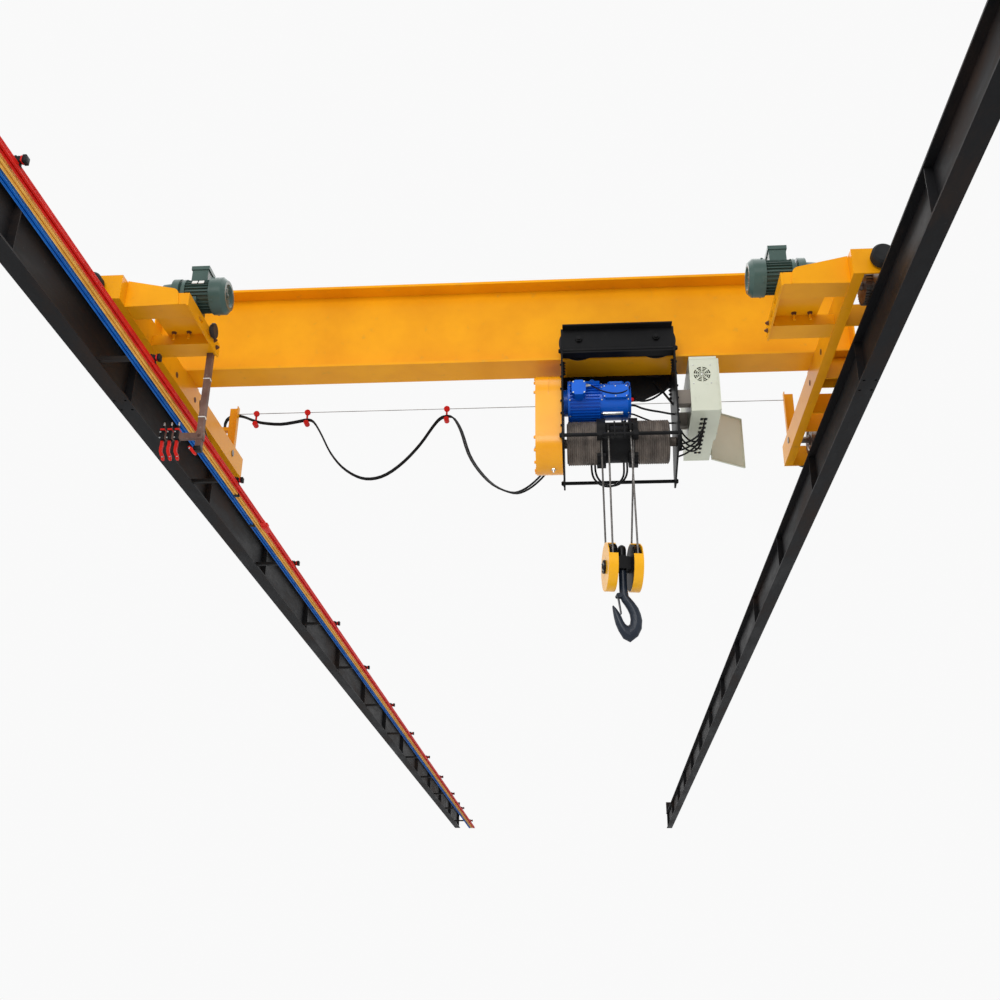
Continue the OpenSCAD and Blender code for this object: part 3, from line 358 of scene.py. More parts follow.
def make_trolley_finishes():
    finish(enamel, "trolley_black", BLACK, BLACK_SHADE, rough=(0.4, 0.6), dusty=(0.02, 0.019, 0.018),
           gloss=0.07)
    finish(enamel, "hoist_blue", (0.004, 0.13, 0.68), (0.003, 0.1, 0.56), coat=0.1,
           dusty=(0.02, 0.15, 0.6), gloss=0.2)
    finish(enamel, "gear_case_yellow", (0.93, 0.4, 0.003), (0.84, 0.33, 0.002), coat=0.25)
    finish(enamel, "guide_black", BLACK, BLACK_SHADE, rough=(0.4, 0.6), gloss=0.07)
    finish(enamel, "anchor_black", BLACK, BLACK_SHADE, rough=(0.4, 0.6), gloss=0.07)
    finish(enamel, "trolley_wheel_black", (0.008, 0.008, 0.009), (0.018, 0.017, 0.016),
           rough=(0.4, 0.55), gloss=0.15)
    # The darker tone, stretched into streaks across the drum, is partly painted shade in the gaps between
    # rope turns and partly dark marks on the rope.
    finish(metal, "drum_rope", (0.17, 0.14, 0.118), (0.07, 0.058, 0.05), rough=(0.5, 0.7), scale=18,
           metallic=0.2, stretch=(1, 0.4, 0.4))
    finish(enamel, "bracket_primer", (0.2, 0.17, 0.14), (0.14, 0.12, 0.1), rough=(0.5, 0.65))
    finish(enamel, "panel_cream", (0.66, 0.68, 0.56), (0.6, 0.62, 0.5), rough=(0.35, 0.5),
           dusty=(0.55, 0.56, 0.46))


def make_hook_finishes():
    finish(metal, "rope_steel", (0.17, 0.16, 0.15), (0.08, 0.075, 0.07), metallic=0.5, scale=60)
    finish(enamel, "block_yellow", (0.95, 0.46, 0.003), (0.88, 0.4, 0.003), coat=0.15)
    finish(enamel, "sheave_black", (0.007, 0.007, 0.008), (0.014, 0.013, 0.012), rough=(0.45, 0.6),
           gloss=0.07)
    finish(enamel, "crosshead_black", BLACK, BLACK_SHADE, gloss=0.15)
    finish(enamel, "hook_slate", (0.012, 0.018, 0.03), (0.018, 0.026, 0.04), rough=(0.35, 0.5))
    finish(enamel, "latch_steel", (0.016, 0.019, 0.025), (0.03, 0.032, 0.036))


def make_small_part_finishes():
    finish(weathered, "rusty_nut", (0.14, 0.06, 0.03), (0.08, 0.03, 0.015))
    finish(metal, "bright_steel", (0.62, 0.62, 0.6), (0.4, 0.4, 0.39), rough=(0.25, 0.45))
    finish(plastic, "white_plastic", (0.72, 0.71, 0.67), (0.6, 0.59, 0.55))
    finish(plastic, "brown_lead", (0.05, 0.022, 0.012), (0.03, 0.014, 0.008))


def dress(node):
    """Gives a CAD node the material of its slot."""
    slot = next(s["material_slot"] for s in frame["record"]["subparts"] if s["node"] == node)
    mesh = NODES[node].data
    mesh.materials.clear()
    mesh.materials.append(MATERIALS[slot])


# Festoon cables: the route of the part's source, in the frame of the bridge
CABLE_ROUTE = [
    (-2235, 1084, 350), (-2235, 1084, 372), (-2235, 1084, 394), (-2222, 1084, 430), (-2190, 1084, 454),
    (-2150, 1084, 462), (-2105, 1080, 454), (-2055, 1056, 426), (-2015, 1036, 400), (-1972, 1030, 381),
    (-1915, 1030, 364), (-1770, 1030, 349), (-1625, 1030, 370), (-1564, 1030, 381), (-1508, 1030, 360),
    (-1440, 1030, 250), (-1360, 1030, 95), (-1260, 1030, -32), (-1140, 1030, -116), (-1030, 1030, -140),
    (-910, 1030, -105), (-780, 1030, 0), (-660, 1030, 145), (-570, 1030, 290), (-516, 1030, 360),
    (-463, 1030, 381), (-405, 1020, 358), (-340, 980, 225), (-270, 910, -5), (-180, 820, -190),
    (-60, 700, -365), (80, 560, -490), (170, 440, -530), (260, 360, -503), (330, 320, -437),
    (352, 280, -370), (352, 240, -340), (352, 210, -335), (352, 181.3, -335)]
CABLE_D = 0.014
CABLE_OFFSET = 0.012

# Leads of the trolley: diameter, then the route in the frame of the trolley
LEADS = {
    "motor_lead": (14, [
        (81, -40, -318), (110, -42, -322), (150, -50, -346), (205, -55, -366), (270, -55, -380),
        (330, -50, -392), (364, -48, -396)]),
    "brake_lead": (12, [
        (81, 20, -350), (100, 14, -358), (130, 0, -380), (170, -8, -404), (230, 0, -424),
        (300, 10, -430), (364, 16, -428)]),
    "upper_lead": (16, [
        (250, 158, -30), (262, 140, -52), (285, 100, -110), (318, 60, -190), (344, 30, -250),
        (364, 15, -290)]),
    "rear_lead": (14, [
        (105, 158, -130), (112, 156, -150), (135, 148, -176), (178, 138, -190), (235, 128, -180),
        (300, 120, -140), (364, 112, -84)]),
    "low_loop": (14, [
        (-186, 166, -176), (-188, 168, -300), (-190, 172, -420), (-190, 174, -500), (-189, 171, -580),
        (-188, 150, -660), (-184, 118, -737), (-172, 89, -788), (-148, 65, -830), (-116, 49, -857),
        (-80, 44, -866), (-44, 49, -857), (-12, 65, -830), (12, 89, -788), (24, 118, -737),
        (27, 150, -660), (28, 171, -580), (28, 174, -500), (28, 172, -420), (27, 168, -300),
        (26, 166, -176)]),
    "low_loop_behind": (14, [
        (-160, 166, -176), (-162, 168, -300), (-164, 173, -420), (-164, 177, -500), (-164, 175, -580),
        (-164, 164, -650), (-161, 142, -715), (-149, 120, -766), (-125, 103, -807), (-93, 92, -833),
        (-57, 88, -842), (-21, 92, -833), (11, 103, -807), (35, 120, -766), (47, 142, -715),
        (49, 164, -650), (49, 175, -580), (49, 177, -500), (49, 173, -420), (48, 168, -300),
        (48, 166, -176)]),
    "box_lead": (9, [
        (-206, -160, -226), (-188, -160, -226), (-160, -154, -236), (-120, -149, -258),
        (-60, -148, -278), (-5, -148, -282), (35, -146, -272), (64, -138, -250), (74, -128, -222)]),
}

# Leads of the control panel, from its underside to the right side plate, as (x, z)
RISING = [(538, -505), (518, -528), (490, -538), (462, -532), (436, -512), (412, -480), (392, -440),
          (376, -400)]
FALLING = [(543, -505), (528, -540), (502, -575), (466, -602), (424, -620), (376, -630)]
SLOT_X = 549
PANEL_FLOOR = -452
SLOT_STEP = 62
LEAD_STEPS = 4

# Frame of the trolley: side plates and tie rods, as (y, z)
PLATE_IN, PLATE_OUT = 364, 376
RODS = ((-204, 15), (-204, -610), (270, -735))


def beside(route, distance):
    """The route moved sideways, level and square to its run."""
    last, moved = len(route) - 1, []
    for k, point in enumerate(route):
        run = route[min(k + 3, last)] - route[max(k - 3, 0)]
        moved.append(point + distance * Vector((-run.y, run.x, 0)).normalized())
    return moved


def cord(name, route, diameter, material, body):
    """A round cord along a route, riding on the body when one is given."""
    builder = bmesh.new()
    tube(builder, route, diameter)
    made = piece(name, builder, material, body, sharp=60)
    return made


def festoon_cables():
    middle = [bridge(*p) for p in CABLE_ROUTE]
    for name, offset in (("front_festoon_cable", -CABLE_OFFSET), ("rear_festoon_cable", CABLE_OFFSET)):
        route = smooth_route(beside(middle, offset), 3)
        cable = cord(name + "_dressed", route, CABLE_D, "cable_black", None)
        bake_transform(cable)
        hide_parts(name)


def trolley_leads():
    for name, (diameter, points) in LEADS.items():
        route = smooth_route([trolley(*p) for p in points], LEAD_STEPS)
        cord(name, route, diameter / 1000, "cable_black", "trolley")


def panel_leads():
    """Three leads that fall to the side plate, and behind them three that rise to it."""
    for k in range(6):
        y = -89 + SLOT_STEP * k
        way, drift = (RISING, -60) if k > 2 else (FALLING, 20)
        points = [(SLOT_X, y, PANEL_FLOOR), (SLOT_X, y, PANEL_FLOOR - 24)]
        for x, z in way:
            run = (SLOT_X - x) / (SLOT_X - PLATE_OUT)
            points.append((x, y + drift * run, z - 14 * (k % 3) * run))
        route = smooth_route([trolley(*p) for p in points], LEAD_STEPS)
        cord("panel_lead_%d" % (k + 1), route, 0.012, "cable_black", "trolley")


def collector_leads():
    """Two thin leads from the left festoon post to the collector mast."""
    for k in (0, 1):
        points = [
            (-2244 - 12 * k, 1100, 346), (-2246 - 12 * k, 1104, 320), (-2244 - 12 * k, 1090, 250),
            (-2236, 1000, 150), (-2200, 800, 40), (-2120, 420, -60), (-2030, 60, -100),
            (-1930, -280, -160), (-1840, -500, -300 - 30 * k), (-1800, -574, -380 - 30 * k),
            (-1786, -584 + 5 * k, -440 - 20 * k)]
        route = smooth_route([bridge(*p) for p in points], LEAD_STEPS)
        cord("collector_lead_%d" % (k + 1), route, 0.009, "brown_lead", "bridge")


# Hoist
MOTOR_Z, DRUM_Z = -268, -573
BOX_TURN = math.radians(88)
BOX_X, BOX_FACE = -262, 207
BRAKE_COVER_X, BRAKE_COVER_FACE = -22, 145
GLAND = (-218, -160, -226)
CASE_BACK = -548
CASE_LOW = -598
CASE_BOLT_R = 163


def on_motor(x, y, z):
    """A point beside the motor axis, turned with its terminal box."""
    return trolley(x, y * math.cos(BOX_TURN) - z * math.sin(BOX_TURN),
                   MOTOR_Z + y * math.sin(BOX_TURN) + z * math.cos(BOX_TURN))


def motor_screws():
    builder = bmesh.new()
    front = (on_motor(0, 0, 1) - on_motor(0, 0, 0)).normalized()
    for x in (-36, 36):
        for y in (-40, 40):
            screw(builder, on_motor(BOX_X + x, y, BOX_FACE), front, 0.006, 0.004)
    for x in (-72, 0, 72):
        for y in (-38, 38):
            screw(builder, on_motor(BRAKE_COVER_X + x, y, BRAKE_COVER_FACE), front, 0.005, 0.003)
    for x, flange_r in ((-322, 0.146), (-112, 0.123), (62, 0.12)):
        for k in range(8):
            turn = math.radians(k * 45 + 20)
            out = Vector((0, -math.sin(turn), math.cos(turn)))
            screw(builder, trolley(x, 0, MOTOR_Z) + out * flange_r, out, 0.006, 0.005)
    piece("motor_screws", builder, "bright_steel", "trolley")


def motor_gland_and_foot_strip():
    builder = bmesh.new()
    x, y, z = GLAND
    nut = [(0, 0), (0.013, 0), (0.013, 0.01), (0.01, 0.012), (0.01, 0.02), (0, 0.02)]
    turned(builder, trolley(x, y, z), (1, 0, 0), nut, 6)
    turned(builder, trolley(x + 18, y, z), (1, 0, 0), [(0, 0), (0.009, 0), (0.0055, 0.016), (0, 0.016)], 16)
    block(builder, trolley(-108, -72, -392), trolley(26, -52, -376), 0.002)
    piece("motor_gland_and_foot_strip", builder, "bright_steel", "trolley")


def brake_release_cap():
    builder = bmesh.new()
    cap = [(0, 0), (0.015, 0), (0.015, 0.012), (0.01, 0.02), (0, 0.02)]
    turned(builder, trolley(79, -70, -292), (1, 0, 0), cap, 20)
    piece("brake_release_cap", builder, "carrier_red", "trolley")


def drum_middle():
    """The bare, black middle of the drum, between its two windings."""
    builder = bmesh.new()
    sleeve = [(0.1319, 0), (0.1324, 0.001), (0.1324, 0.221), (0.1319, 0.222)]
    turned(builder, trolley(-130, 0, DRUM_Z), (1, 0, 0), sleeve, 64)
    piece("drum_middle", builder, "guide_black", "drum")


def gear_case_details():
    """Cover bolts round both ends of the case, a drain plug, a level plug and the seam."""
    builder = bmesh.new()
    for centre_z, start in ((MOTOR_Z, -90), (CASE_LOW, 90)):
        for k in range(7):
            turn = math.radians(start + 30 * k)
            y, z = CASE_BOLT_R * math.sin(turn), centre_z + CASE_BOLT_R * math.cos(turn)
            bolt(builder, trolley(CASE_BACK, y, z), (-1, 0, 0), 0.02, stub=False)
    piece("gear_case_bolts", builder, "gear_case_yellow", "trolley")

    builder = bmesh.new()
    drain = [(0, 0), (0.016, 0), (0.016, 0.008), (0.007, 0.01), (0.007, 0.024), (0, 0.026)]
    turned(builder, trolley(-436, -40, -772), (0, 0, -1), drain, 6)
    level = [(0, 0), (0.012, 0), (0.012, 0.008), (0, 0.01)]
    turned(builder, trolley(CASE_BACK, -90, -640), (-1, 0, 0), level, 6)
    piece("gear_case_plugs", builder, "bright_steel", "trolley")

    builder = bmesh.new()
    seam = [(0.1812, -0.003), (0.184, -0.002), (0.184, 0.002), (0.1812, 0.003)]
    turned(builder, trolley(-462, 0, MOTOR_Z), (1, 0, 0), seam, 64)
    piece("gear_case_seam", builder, "gear_case_yellow", "trolley")


def festoon_glands():
    """Where the two festoon cables go into the gear case."""
    builder = bmesh.new()
    gland = [(0, 0), (0.012, 0), (0.012, 0.01), (0.0085, 0.026), (0, 0.026)]
    for x in (-488, -464):
        turned(builder, trolley(x, 181, -510), (0, 1, 0), gland, 12)
    piece("festoon_glands", builder, "cable_black", "trolley")


def frame_bolts():
    """Bolt rows on both sides of the side plates, and washers of the tie rods."""
    builder = bmesh.new()
    washer = [(0.0125, 0), (0.024, 0), (0.024, 0.003), (0.0125, 0.003)]
    for side in (-1, 1):
        for k in range(5):
            bolt(builder, trolley(side * PLATE_IN, -148, -44 - 21 * k), (-side, 0, 0), 0.02)
            bolt(builder, trolley(side * PLATE_IN, 128, -60 - 30 * k), (-side, 0, 0), 0.02)
        for y, z in RODS:
            turned(builder, trolley(side * PLATE_OUT, y, z), (side, 0, 0), washer, 24)
        for k in range(6):
            at = trolley(side * PLATE_OUT, -190, -80 - 90 * k)
            bolt(builder, at, (side, 0, 0), 0.014, stub=False)
    piece("frame_bolts", builder, "trolley_black", "trolley")


# Control panel
PANEL_XS = (460, 638)
PANEL_FACE = -200
GRILLE = (541, PANEL_FACE, -186)


def panel_screws():
    builder = bmesh.new()
    x, y, z = GRILLE
    for dx in (-56, 56):
        for dz in (-68, 68):
            screw(builder, trolley(x + dx, y, z + dz), (0, -1, 0), 0.005, 0.003)
    screw(builder, trolley(*GRILLE), (0, -1, 0), 0.007, 0.003)
    for cover_z in (-66, -444):
        for cover_y in (-150, 0, 150):
            screw(builder, trolley(652, cover_y, cover_z), (1, 0, 0), 0.006, 0.003)
    piece("panel_screws", builder, "bright_steel", "trolley")


def panel_grille_rims():
    """The raised rims of the round grille, and the fold of the case above it."""
    builder = bmesh.new()
    for radius in (0.0105, 0.0555):
        ring(builder, trolley(*GRILLE), (0, -1, 0), radius, 0.0015)
    low, high = trolley(PANEL_XS[0] + 3, -201.5, -75), trolley(PANEL_XS[1] - 3, -199.5, -72)
    block(builder, low, high, 0.0006)
    piece("panel_grille_rims", builder, "panel_cream", "trolley")


def panel_grommets():
    """Two rows of black grommets in the underside of the panel."""
    builder = bmesh.new()
    for k in range(9):
        y = -80 + SLOT_STEP * k
        for x in (533, 561):
            block(builder, trolley(x - 9, y - 15, -457), trolley(x + 9, y + 15, -452), 0.003)
    piece("panel_grommets", builder, "cable_black", "trolley", sharp=40)


# Travel drives
DRIVE_Y, DRIVE_Z = -905, 234
FAN_END = 1601
COVER_SCREWS_X, FLANGE_X = 1672, 1867
PLATE_TURN = math.radians(24)


def motor_details(side, name):
    """Fan cover hoops, screws and foot bolts of one travel motor."""
    builder = bmesh.new()
    inward = (-side, 0, 0)
    for radius in (0.026, 0.042, 0.058):
        ring(builder, bridge(side * FAN_END, DRIVE_Y, DRIVE_Z), inward, radius, 0.0022)
    hub = [(0, 0), (0.013, 0), (0.013, 0.004), (0, 0.006)]
    turned(builder, bridge(side * (FAN_END + 1), DRIVE_Y, DRIVE_Z), inward, hub, 20)
    for k in range(4):
        turn = math.radians(45 + 90 * k)
        out = Vector((0, math.cos(turn), math.sin(turn)))
        screw(builder, bridge(side * COVER_SCREWS_X, DRIVE_Y, DRIVE_Z) + out * 0.116, out, 0.007, 0.005)
        bolt(builder, bridge(side * FLANGE_X, DRIVE_Y, DRIVE_Z) + out * 0.096, inward, 0.014, stub=False)
    for x in (1727, 1823):
        for y in (-49, 49):
            screw(builder, bridge(side * x, DRIVE_Y + y, DRIVE_Z + 192), (0, 0, 1), 0.006, 0.004)
    for y in (-73.5, 73.5):
        for x in (1790, 1836):
            bolt(builder, bridge(side * x, DRIVE_Y + y, 178), (0, 0, 1), 0.018)
    piece(name + "_motor_details", builder, "travel_motor_paint", "bridge")


def motor_plates():
    """Two bare pale plates on the left travel motor."""
    builder = bmesh.new()
    out = Vector((0, -math.cos(PLATE_TURN), math.sin(PLATE_TURN)))
    half = Vector((0.017, 0.0015, 0.014))
    turn = Vector((0, -1, 0)).rotation_difference(out).to_matrix()
    for x in (1742, 1784):
        middle = bridge(-x, DRIVE_Y, DRIVE_Z) + out * 0.107
        block(builder, middle - half, middle + half, 0.0006, turn=turn)
    piece("motor_plates", builder, "white_plastic", "bridge")


def platform_nuts():
    """Nuts under the drive platforms, bolts of the slotted bars and rims of the axle holes."""
    builder = bmesh.new()
    for side in (-1, 1):
        for x in (1876, 1972):
            for y in (-998, -757):
                bolt(builder, bridge(side * x, y, 76), (0, 0, -1), 0.026)
        for x, y, z in ((1733, -690, 52), (1733, -640, 30)):
            bolt(builder, bridge(side * x, y, z), (-side, 0, 0), 0.024)
    rim = [(0.02, -0.001), (0.02, 0.002), (0.013, 0.002), (0.012, 0.0005), (0, 0.0005)]
    for x, y, z in ((-2120, 103, 68), (-2120, -269, 55), (2120, -299, 70), (2120, 104, 71)):
        turned(builder, bridge(x, y, z), (-x, 0, 0), rim, 24)
    piece("platform_nuts", builder, "rusty_nut", "bridge")


def platform_disc():
    """A rusty disc on the inner side of the left drive platform."""
    builder = bmesh.new()
    profile = [(0, 0), (0.04, 0), (0.04, 0.01), (0.05, 0.012), (0.05, 0.026), (0.046, 0.03), (0, 0.03)]
    turned(builder, bridge(-1733, -760, 76), (1, 0, 0), profile, 32)
    piece("platform_disc", builder, "rail_steel", "bridge")


# Collector mast and collectors
MAST_X, MAST_Y = -1778, -600
COLLECTOR_XS = (-2014, -1968, -1922)
BLADE = [(-9, -612), (9, -612), (11, -640), (8, -664), (10, -686), (22, -708), (28, -730), (27, -742),
         (20, -745), (12, -742), (9, -728), (-1, -706), (-9, -684), (-10, -660), (-7, -636)]
LOOSE_BLADE = [(-1834, -672), (-1822, -664), (-1806, -676), (-1790, -700), (-1776, -716),
               (-1782, -726), (-1798, -716), (-1816, -694)]
ACROSS = Vector((0, 1, 0))


def mast_ties():
    """Two white cable ties round the mast, each with its loose end."""
    builder = bmesh.new()
    x, y, half = MAST_X, MAST_Y, 21.5
    for z in (-183, -456):
        block(builder, bridge(x - half, y - half, z - 4), bridge(x + half, y + half, z + 4), 0.002)
        loose_end = [bridge(x + 18, y - 20, z), bridge(x + 30, y - 28, z - 8), bridge(x + 34, y - 30, z - 26)]
        tube(builder, loose_end, 0.004, 8)
    piece("mast_ties", builder, "white_plastic", "bridge")


def mast_clamp():
    builder = bmesh.new()
    x, y, half = MAST_X, MAST_Y, 24
    block(builder, bridge(x - half, y - half, -612), bridge(x + half, y + half, -556), 0.004)
    bolt(builder, bridge(x, y - half, -584), (0, -1, 0), 0.022)
    piece("mast_clamp", builder, "mast_primer", "bridge")


def current_collectors():
    """Red blades with black clamps and bright studs, and one loose blade beside the mast."""
    blades, clamps, tips = bmesh.new(), bmesh.new(), bmesh.new()
    for x in COLLECTOR_XS:
        ribbon(blades, BLADE, 0.018, bridge(x, MAST_Y, 0), ACROSS)
        block(blades, bridge(x - 14, -626, -548), bridge(x + 14, -574, -534), 0.003)
        block(clamps, bridge(x - 15, -627, -611), bridge(x + 15, -573, -549), 0.003)
        block(clamps, bridge(x - 8, -612, -534), bridge(x + 8, -588, -508), 0.003)
        for z in (-600, -560):
            screw(tips, bridge(x - 8, -627, z), (0, -1, 0), 0.005, 0.004)
        stud = [(0, 0), (0.006, 0), (0.006, 0.02), (0.0045, 0.026), (0, 0.026)]
        turned(tips, bridge(x, MAST_Y, -508), (0, 0, 1), stud, 12)
        screw(tips, bridge(x + 19, -610, -724), (0, -1, 0), 0.004, 0.003)
    ribbon(blades, LOOSE_BLADE, 0.016, bridge(0, -626, 0), ACROSS)
    block(clamps, bridge(-1800, -636, -690), bridge(-1756, -580, -664), 0.003)
    screw(tips, bridge(-1822, -634, -680), (0, -1, 0), 0.006, 0.005)
    collectors = piece("collector_blades", blades, "collector_red", "bridge")
    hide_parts("current_collectors")
    piece("collector_clamps", clamps, "cable_black", "bridge")
    piece("collector_tips", tips, "bright_steel", "bridge")


# Conductor rail and runway
ARM_FIRST, ARM_STEP = 1205, 1720
STIFFENER_STEP = 1600
ARM_CLEAR = 100
BAR_XS = (286, 332, 378)
BAY = 6400
WELD_FIRST, WELD_STEP, WELD_COUNT = -6150, 424, 60


def arm_y(k):
    """The place of an arm along the runway, kept clear of the stiffeners of the beam."""
    y = ARM_FIRST + ARM_STEP * k
    near = round(y / STIFFENER_STEP) * STIFFENER_STEP
    if abs(y - near) >= ARM_CLEAR:
        return y
    return near + (-ARM_CLEAR if y < near else ARM_CLEAR)


def arm_details():
    """Insulators with red hoods on the arm ends, and hangers of the three bars."""
    caps, hoods = bmesh.new(), bmesh.new()
    for k in range(-4, 11):
        y = arm_y(k)
        block(caps, runway(404, y - 19, 6), runway(424, y + 19, 43), 0.003)
        bolt(caps, runway(363, y, 37), (0, 0, 1), 0.018)
        block(hoods, runway(394, y - 16, 9), runway(405, y + 16, 40), 0.003)
        for x in BAR_XS:
            bolt(caps, runway(x, y, 37), (0, 0, 1), 0.014)
            block(caps, runway(x - 18, y - 13, -13), runway(x + 18, y + 13, -3.2), 0.0015)
    piece("arm_insulators", caps, "cable_black", "runway")
    piece("arm_caps", hoods, "collector_red", "runway")


def bar_joints():
    """The joint cover of the red bar, and a black clip on each of the other two."""
    builder = bmesh.new()
    block(builder, runway(359.5, 1877, -33), runway(396.5, 2086, -1), 0.004)
    block(builder, runway(352, 1950, -37), runway(404, 2010, 3), 0.004)
    piece("red_bar_joint", builder, "bar_red", "runway")
    builder = bmesh.new()
    block(builder, runway(267.5, 1915, -32), runway(304.5, 1963, -1), 0.003)
    block(builder, runway(313.5, 1340, -32), runway(350.5, 1384, -1), 0.003)
    piece("bar_clips", builder, "cable_black", "runway")


def support_nuts():
    builder = bmesh.new()
    for x in RAIL_XS:
        for k in range(-1, 4):
            for dx in (-35, 35):
                for dy in (-60, 60):
                    bolt(builder, runway(x + dx, k * BAY + dy, 12), (0, 0, 1), 0.026)
    piece("support_nuts", builder, "runway_paint", "runway")


def rail_welds():
    """Short weld beads on both sides of the rails."""
    builder = bmesh.new()
    bead = ((0, 2), (15, 4), (30, 4), (45, 4), (60, 2))
    for x in RAIL_XS:
        for k in range(WELD_COUNT):
            y = WELD_FIRST + WELD_STEP * k
            for side in (-1, 1):
                tube(builder, [runway(x + side * 21, y + dy, 310 + up) for dy, up in bead], 0.009, 6)
    piece("rail_welds", builder, "rail_steel", "runway")


# Hook block
YAW = math.radians(8.5)
BLOCK_AXLE = trolley(-12, 0, -1445)


def block_way(x, y, z):
    """A direction in the frame of the hook block."""
    return Vector((x * math.cos(YAW) - y * math.sin(YAW), x * math.sin(YAW) + y * math.cos(YAW), z))


def at_block(x, y, z):
    """A point in millimetres from the middle of the axle of the hook block."""
    return BLOCK_AXLE + block_way(x, y, z) / 1000


def hook_block_details():
    """Black linings of the sheave covers, and the axle caps with their bolts."""
    inner, bolts = bmesh.new(), bmesh.new()
    lining = [(0.019, 0), (0.146, 0), (0.147, 0.001), (0.147, 0.0035), (0.146, 0.0045), (0.019, 0.0045)]
    cap = [(0, 0), (0.013, 0), (0.013, 0.004), (0.011, 0.006), (0, 0.006)]
    for side in (-1, 1):
        out = block_way(side, 0, 0)
        turned(inner, at_block(side * 47.4, 0, 0), out, lining, 64)
        turned(bolts, at_block(side * 123, 0, 0), out, cap, 24)
        for k in range(4):
            turn = math.radians(45 + 90 * k)
            at = at_block(side * 123, 34 * math.cos(turn), 34 * math.sin(turn))
            screw(bolts, at, out, 0.005, 0.004)
    piece("inner_cover_plates", inner, "sheave_black", "hook_block")
    piece("axle_cap_bolts", bolts, "crosshead_black", "hook_block")


# Rope falls: stranded ropes between the ends of the CAD falls
ROPE_D = 0.013
STRANDS = 6
STRAND_DEPTH = 0.07  # share of the rope's radius
LAY_LENGTH = 0.085


def islands(mesh):
    """The points of each separate solid of a mesh."""
    solid = bmesh.new()
    solid.from_mesh(mesh)
    left, found = set(solid.verts), []
    while left:
        reached, waiting = set(), [left.pop()]
        while waiting:
            vert = waiting.pop()
            reached.add(vert)
            near = {e.other_vert(vert) for e in vert.link_edges} - reached
            waiting.extend(near)
            left -= near
        found.append([v.co.copy() for v in reached])
    solid.free()
    return found


def stranded(builder, top, bottom, sides=24, step=0.005):
    """A rope of twisted strands from one point to another."""
    along = bottom - top
    turn, count = along.to_track_quat("Z", "Y"), round(along.length / step)
    rings = []
    for k in range(count + 1):
        twist = 2 * math.pi * k * step / LAY_LENGTH
        points = []
        for i in range(sides):
            angle = 2 * math.pi * i / sides
            wave = math.cos(STRANDS * (angle - twist))
            radius = ROPE_D / 2 * (1 - STRAND_DEPTH + STRAND_DEPTH * wave)
            points.append(builder.verts.new(top + turn @ Vector((
                radius * math.cos(angle), radius * math.sin(angle), along.length * k / count))))
        rings.append(points)
    skin(builder, rings)


def rope_falls():
    builder = bmesh.new()
    for points in islands(NODES["rope_falls"].data):
        middle_z = (max(p.z for p in points) + min(p.z for p in points)) / 2
        ends = [[p for p in points if (p.z > middle_z) == upper] for upper in (True, False)]
        stranded(builder, *(sum(group, Vector()) / len(group) for group in ends))
    falls = piece("rope_falls_dressed", builder, "rope_steel", None, sharp=60)
    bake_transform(falls)
    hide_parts("rope_falls")


# Stage and light
FLOOR_Z = -5.2
FLOOR_COLOUR = (0.8, 0.8, 0.79, 1)
SKY_COLOUR = (0.95, 0.97, 1, 1)


def area_light(name, place, target, size, watts):
    light = bpy.data.objects.new(name, bpy.data.lights.new(name, "AREA"))
    bpy.context.scene.collection.objects.link(light)
    light.location = place
    light.data.shape = "RECTANGLE"
    light.data.size, light.data.size_y = size
    light.data.energy = watts
    light.rotation_euler = (Vector(target) - Vector(place)).to_track_quat("-Z", "Y").to_euler()


def stage():
    mesh = bpy.data.meshes.new("floor")
    builder = bmesh.new()
    bmesh.ops.create_grid(builder, x_segments=1, y_segments=1, size=60)
    builder.to_mesh(mesh)
    builder.free()
    floor = bpy.data.objects.new("floor", mesh)
    bpy.context.scene.collection.objects.link(floor)
    floor.location = (MID_X, 6, FLOOR_Z)
    material, _, shader = new_material("floor")
    shader.inputs["Base Color"].default_value = FLOOR_COLOUR
    shader.inputs["Roughness"].default_value = 0.8
    mesh.materials.append(material)


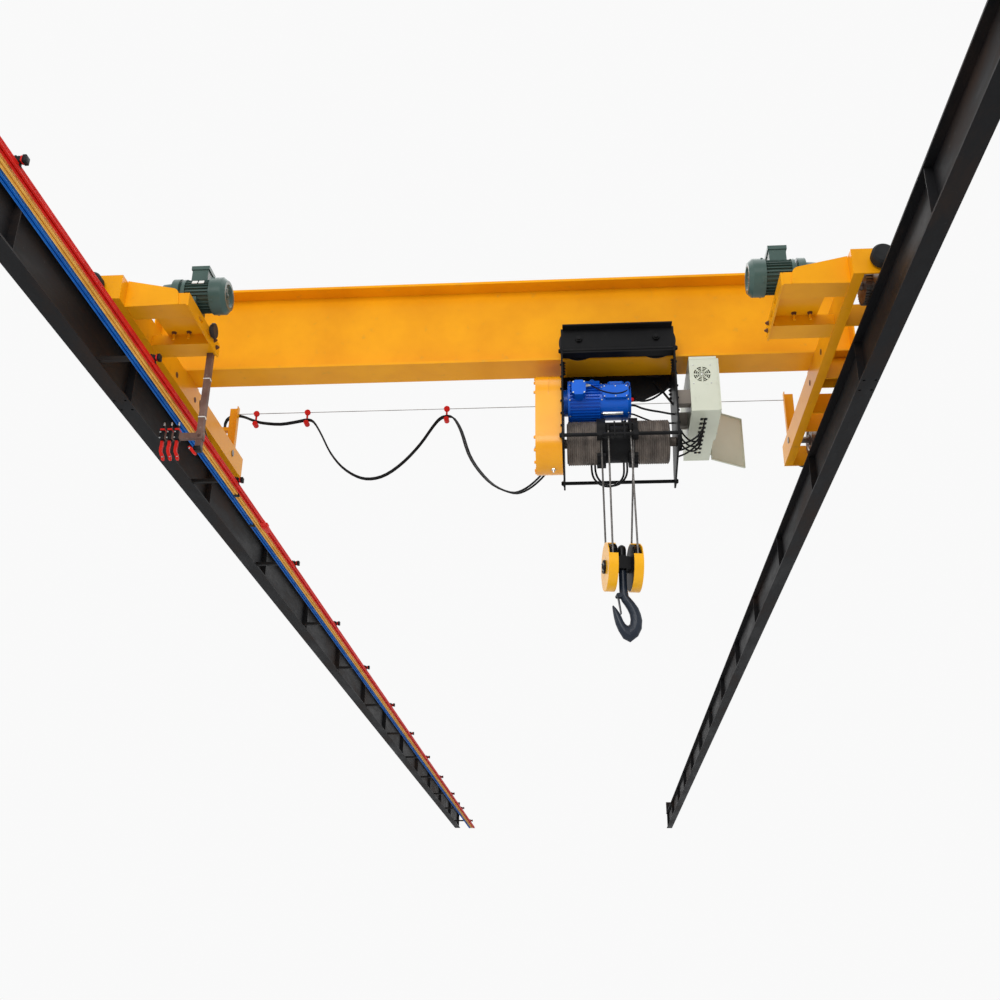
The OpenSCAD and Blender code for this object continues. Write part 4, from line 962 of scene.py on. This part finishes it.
def backdrop():
    """A white background for the camera and for reflections, and softer light on the object."""
    world = bpy.data.worlds.new("studio")
    bpy.context.scene.world = world
    world.use_nodes = True
    tree = world.node_tree
    tree.nodes.clear()
    out = tree.nodes.new("ShaderNodeOutputWorld")
    seen = tree.nodes.new("ShaderNodeBackground")
    seen.inputs["Color"].default_value = (1, 1, 1, 1)
    seen.inputs["Strength"].default_value = 0.95
    lit = tree.nodes.new("ShaderNodeBackground")
    lit.inputs["Color"].default_value = SKY_COLOUR
    lit.inputs["Strength"].default_value = 0.7
    path = tree.nodes.new("ShaderNodeLightPath")
    seen_by = path.outputs["Is Camera Ray"]
    for ray in ("Is Glossy Ray", "Is Transmission Ray"):
        either = tree.nodes.new("ShaderNodeMath")
        either.operation = "MAXIMUM"
        tree.links.new(seen_by, either.inputs[0])
        tree.links.new(path.outputs[ray], either.inputs[1])
        seen_by = either.outputs[0]
    choose = tree.nodes.new("ShaderNodeMixShader")
    tree.links.new(seen_by, choose.inputs[0])
    tree.links.new(lit.outputs[0], choose.inputs[1])
    tree.links.new(seen.outputs[0], choose.inputs[2])
    tree.links.new(choose.outputs[0], out.inputs[0])


# The scene
make_camera()
make_runway_finishes()
make_bridge_finishes()
make_trolley_finishes()
make_hook_finishes()
make_small_part_finishes()
for node in NODES:
    dress(node)

festoon_cables()
trolley_leads()
panel_leads()
collector_leads()

motor_screws()
motor_gland_and_foot_strip()
brake_release_cap()
drum_middle()
gear_case_details()
festoon_glands()
frame_bolts()
panel_screws()
panel_grille_rims()
panel_grommets()
for side, name in ((-1, "left"), (1, "right")):
    motor_details(side, name)
motor_plates()
platform_nuts()
platform_disc()
mast_ties()
mast_clamp()
current_collectors()
arm_details()
bar_joints()
support_nuts()
rail_welds()
hook_block_details()
rope_falls()

stage()
backdrop()
area_light("front", (1.5, -9, 2.5), (2.6, 0.6, 0), (6, 4), 420)
area_light("top", (2.3, 3, 7), (2.3, 3, 0), (8, 14), 420)
area_light("left", (-6, 0, 1.5), (2.3, 0.6, 0), (4, 6), 160)
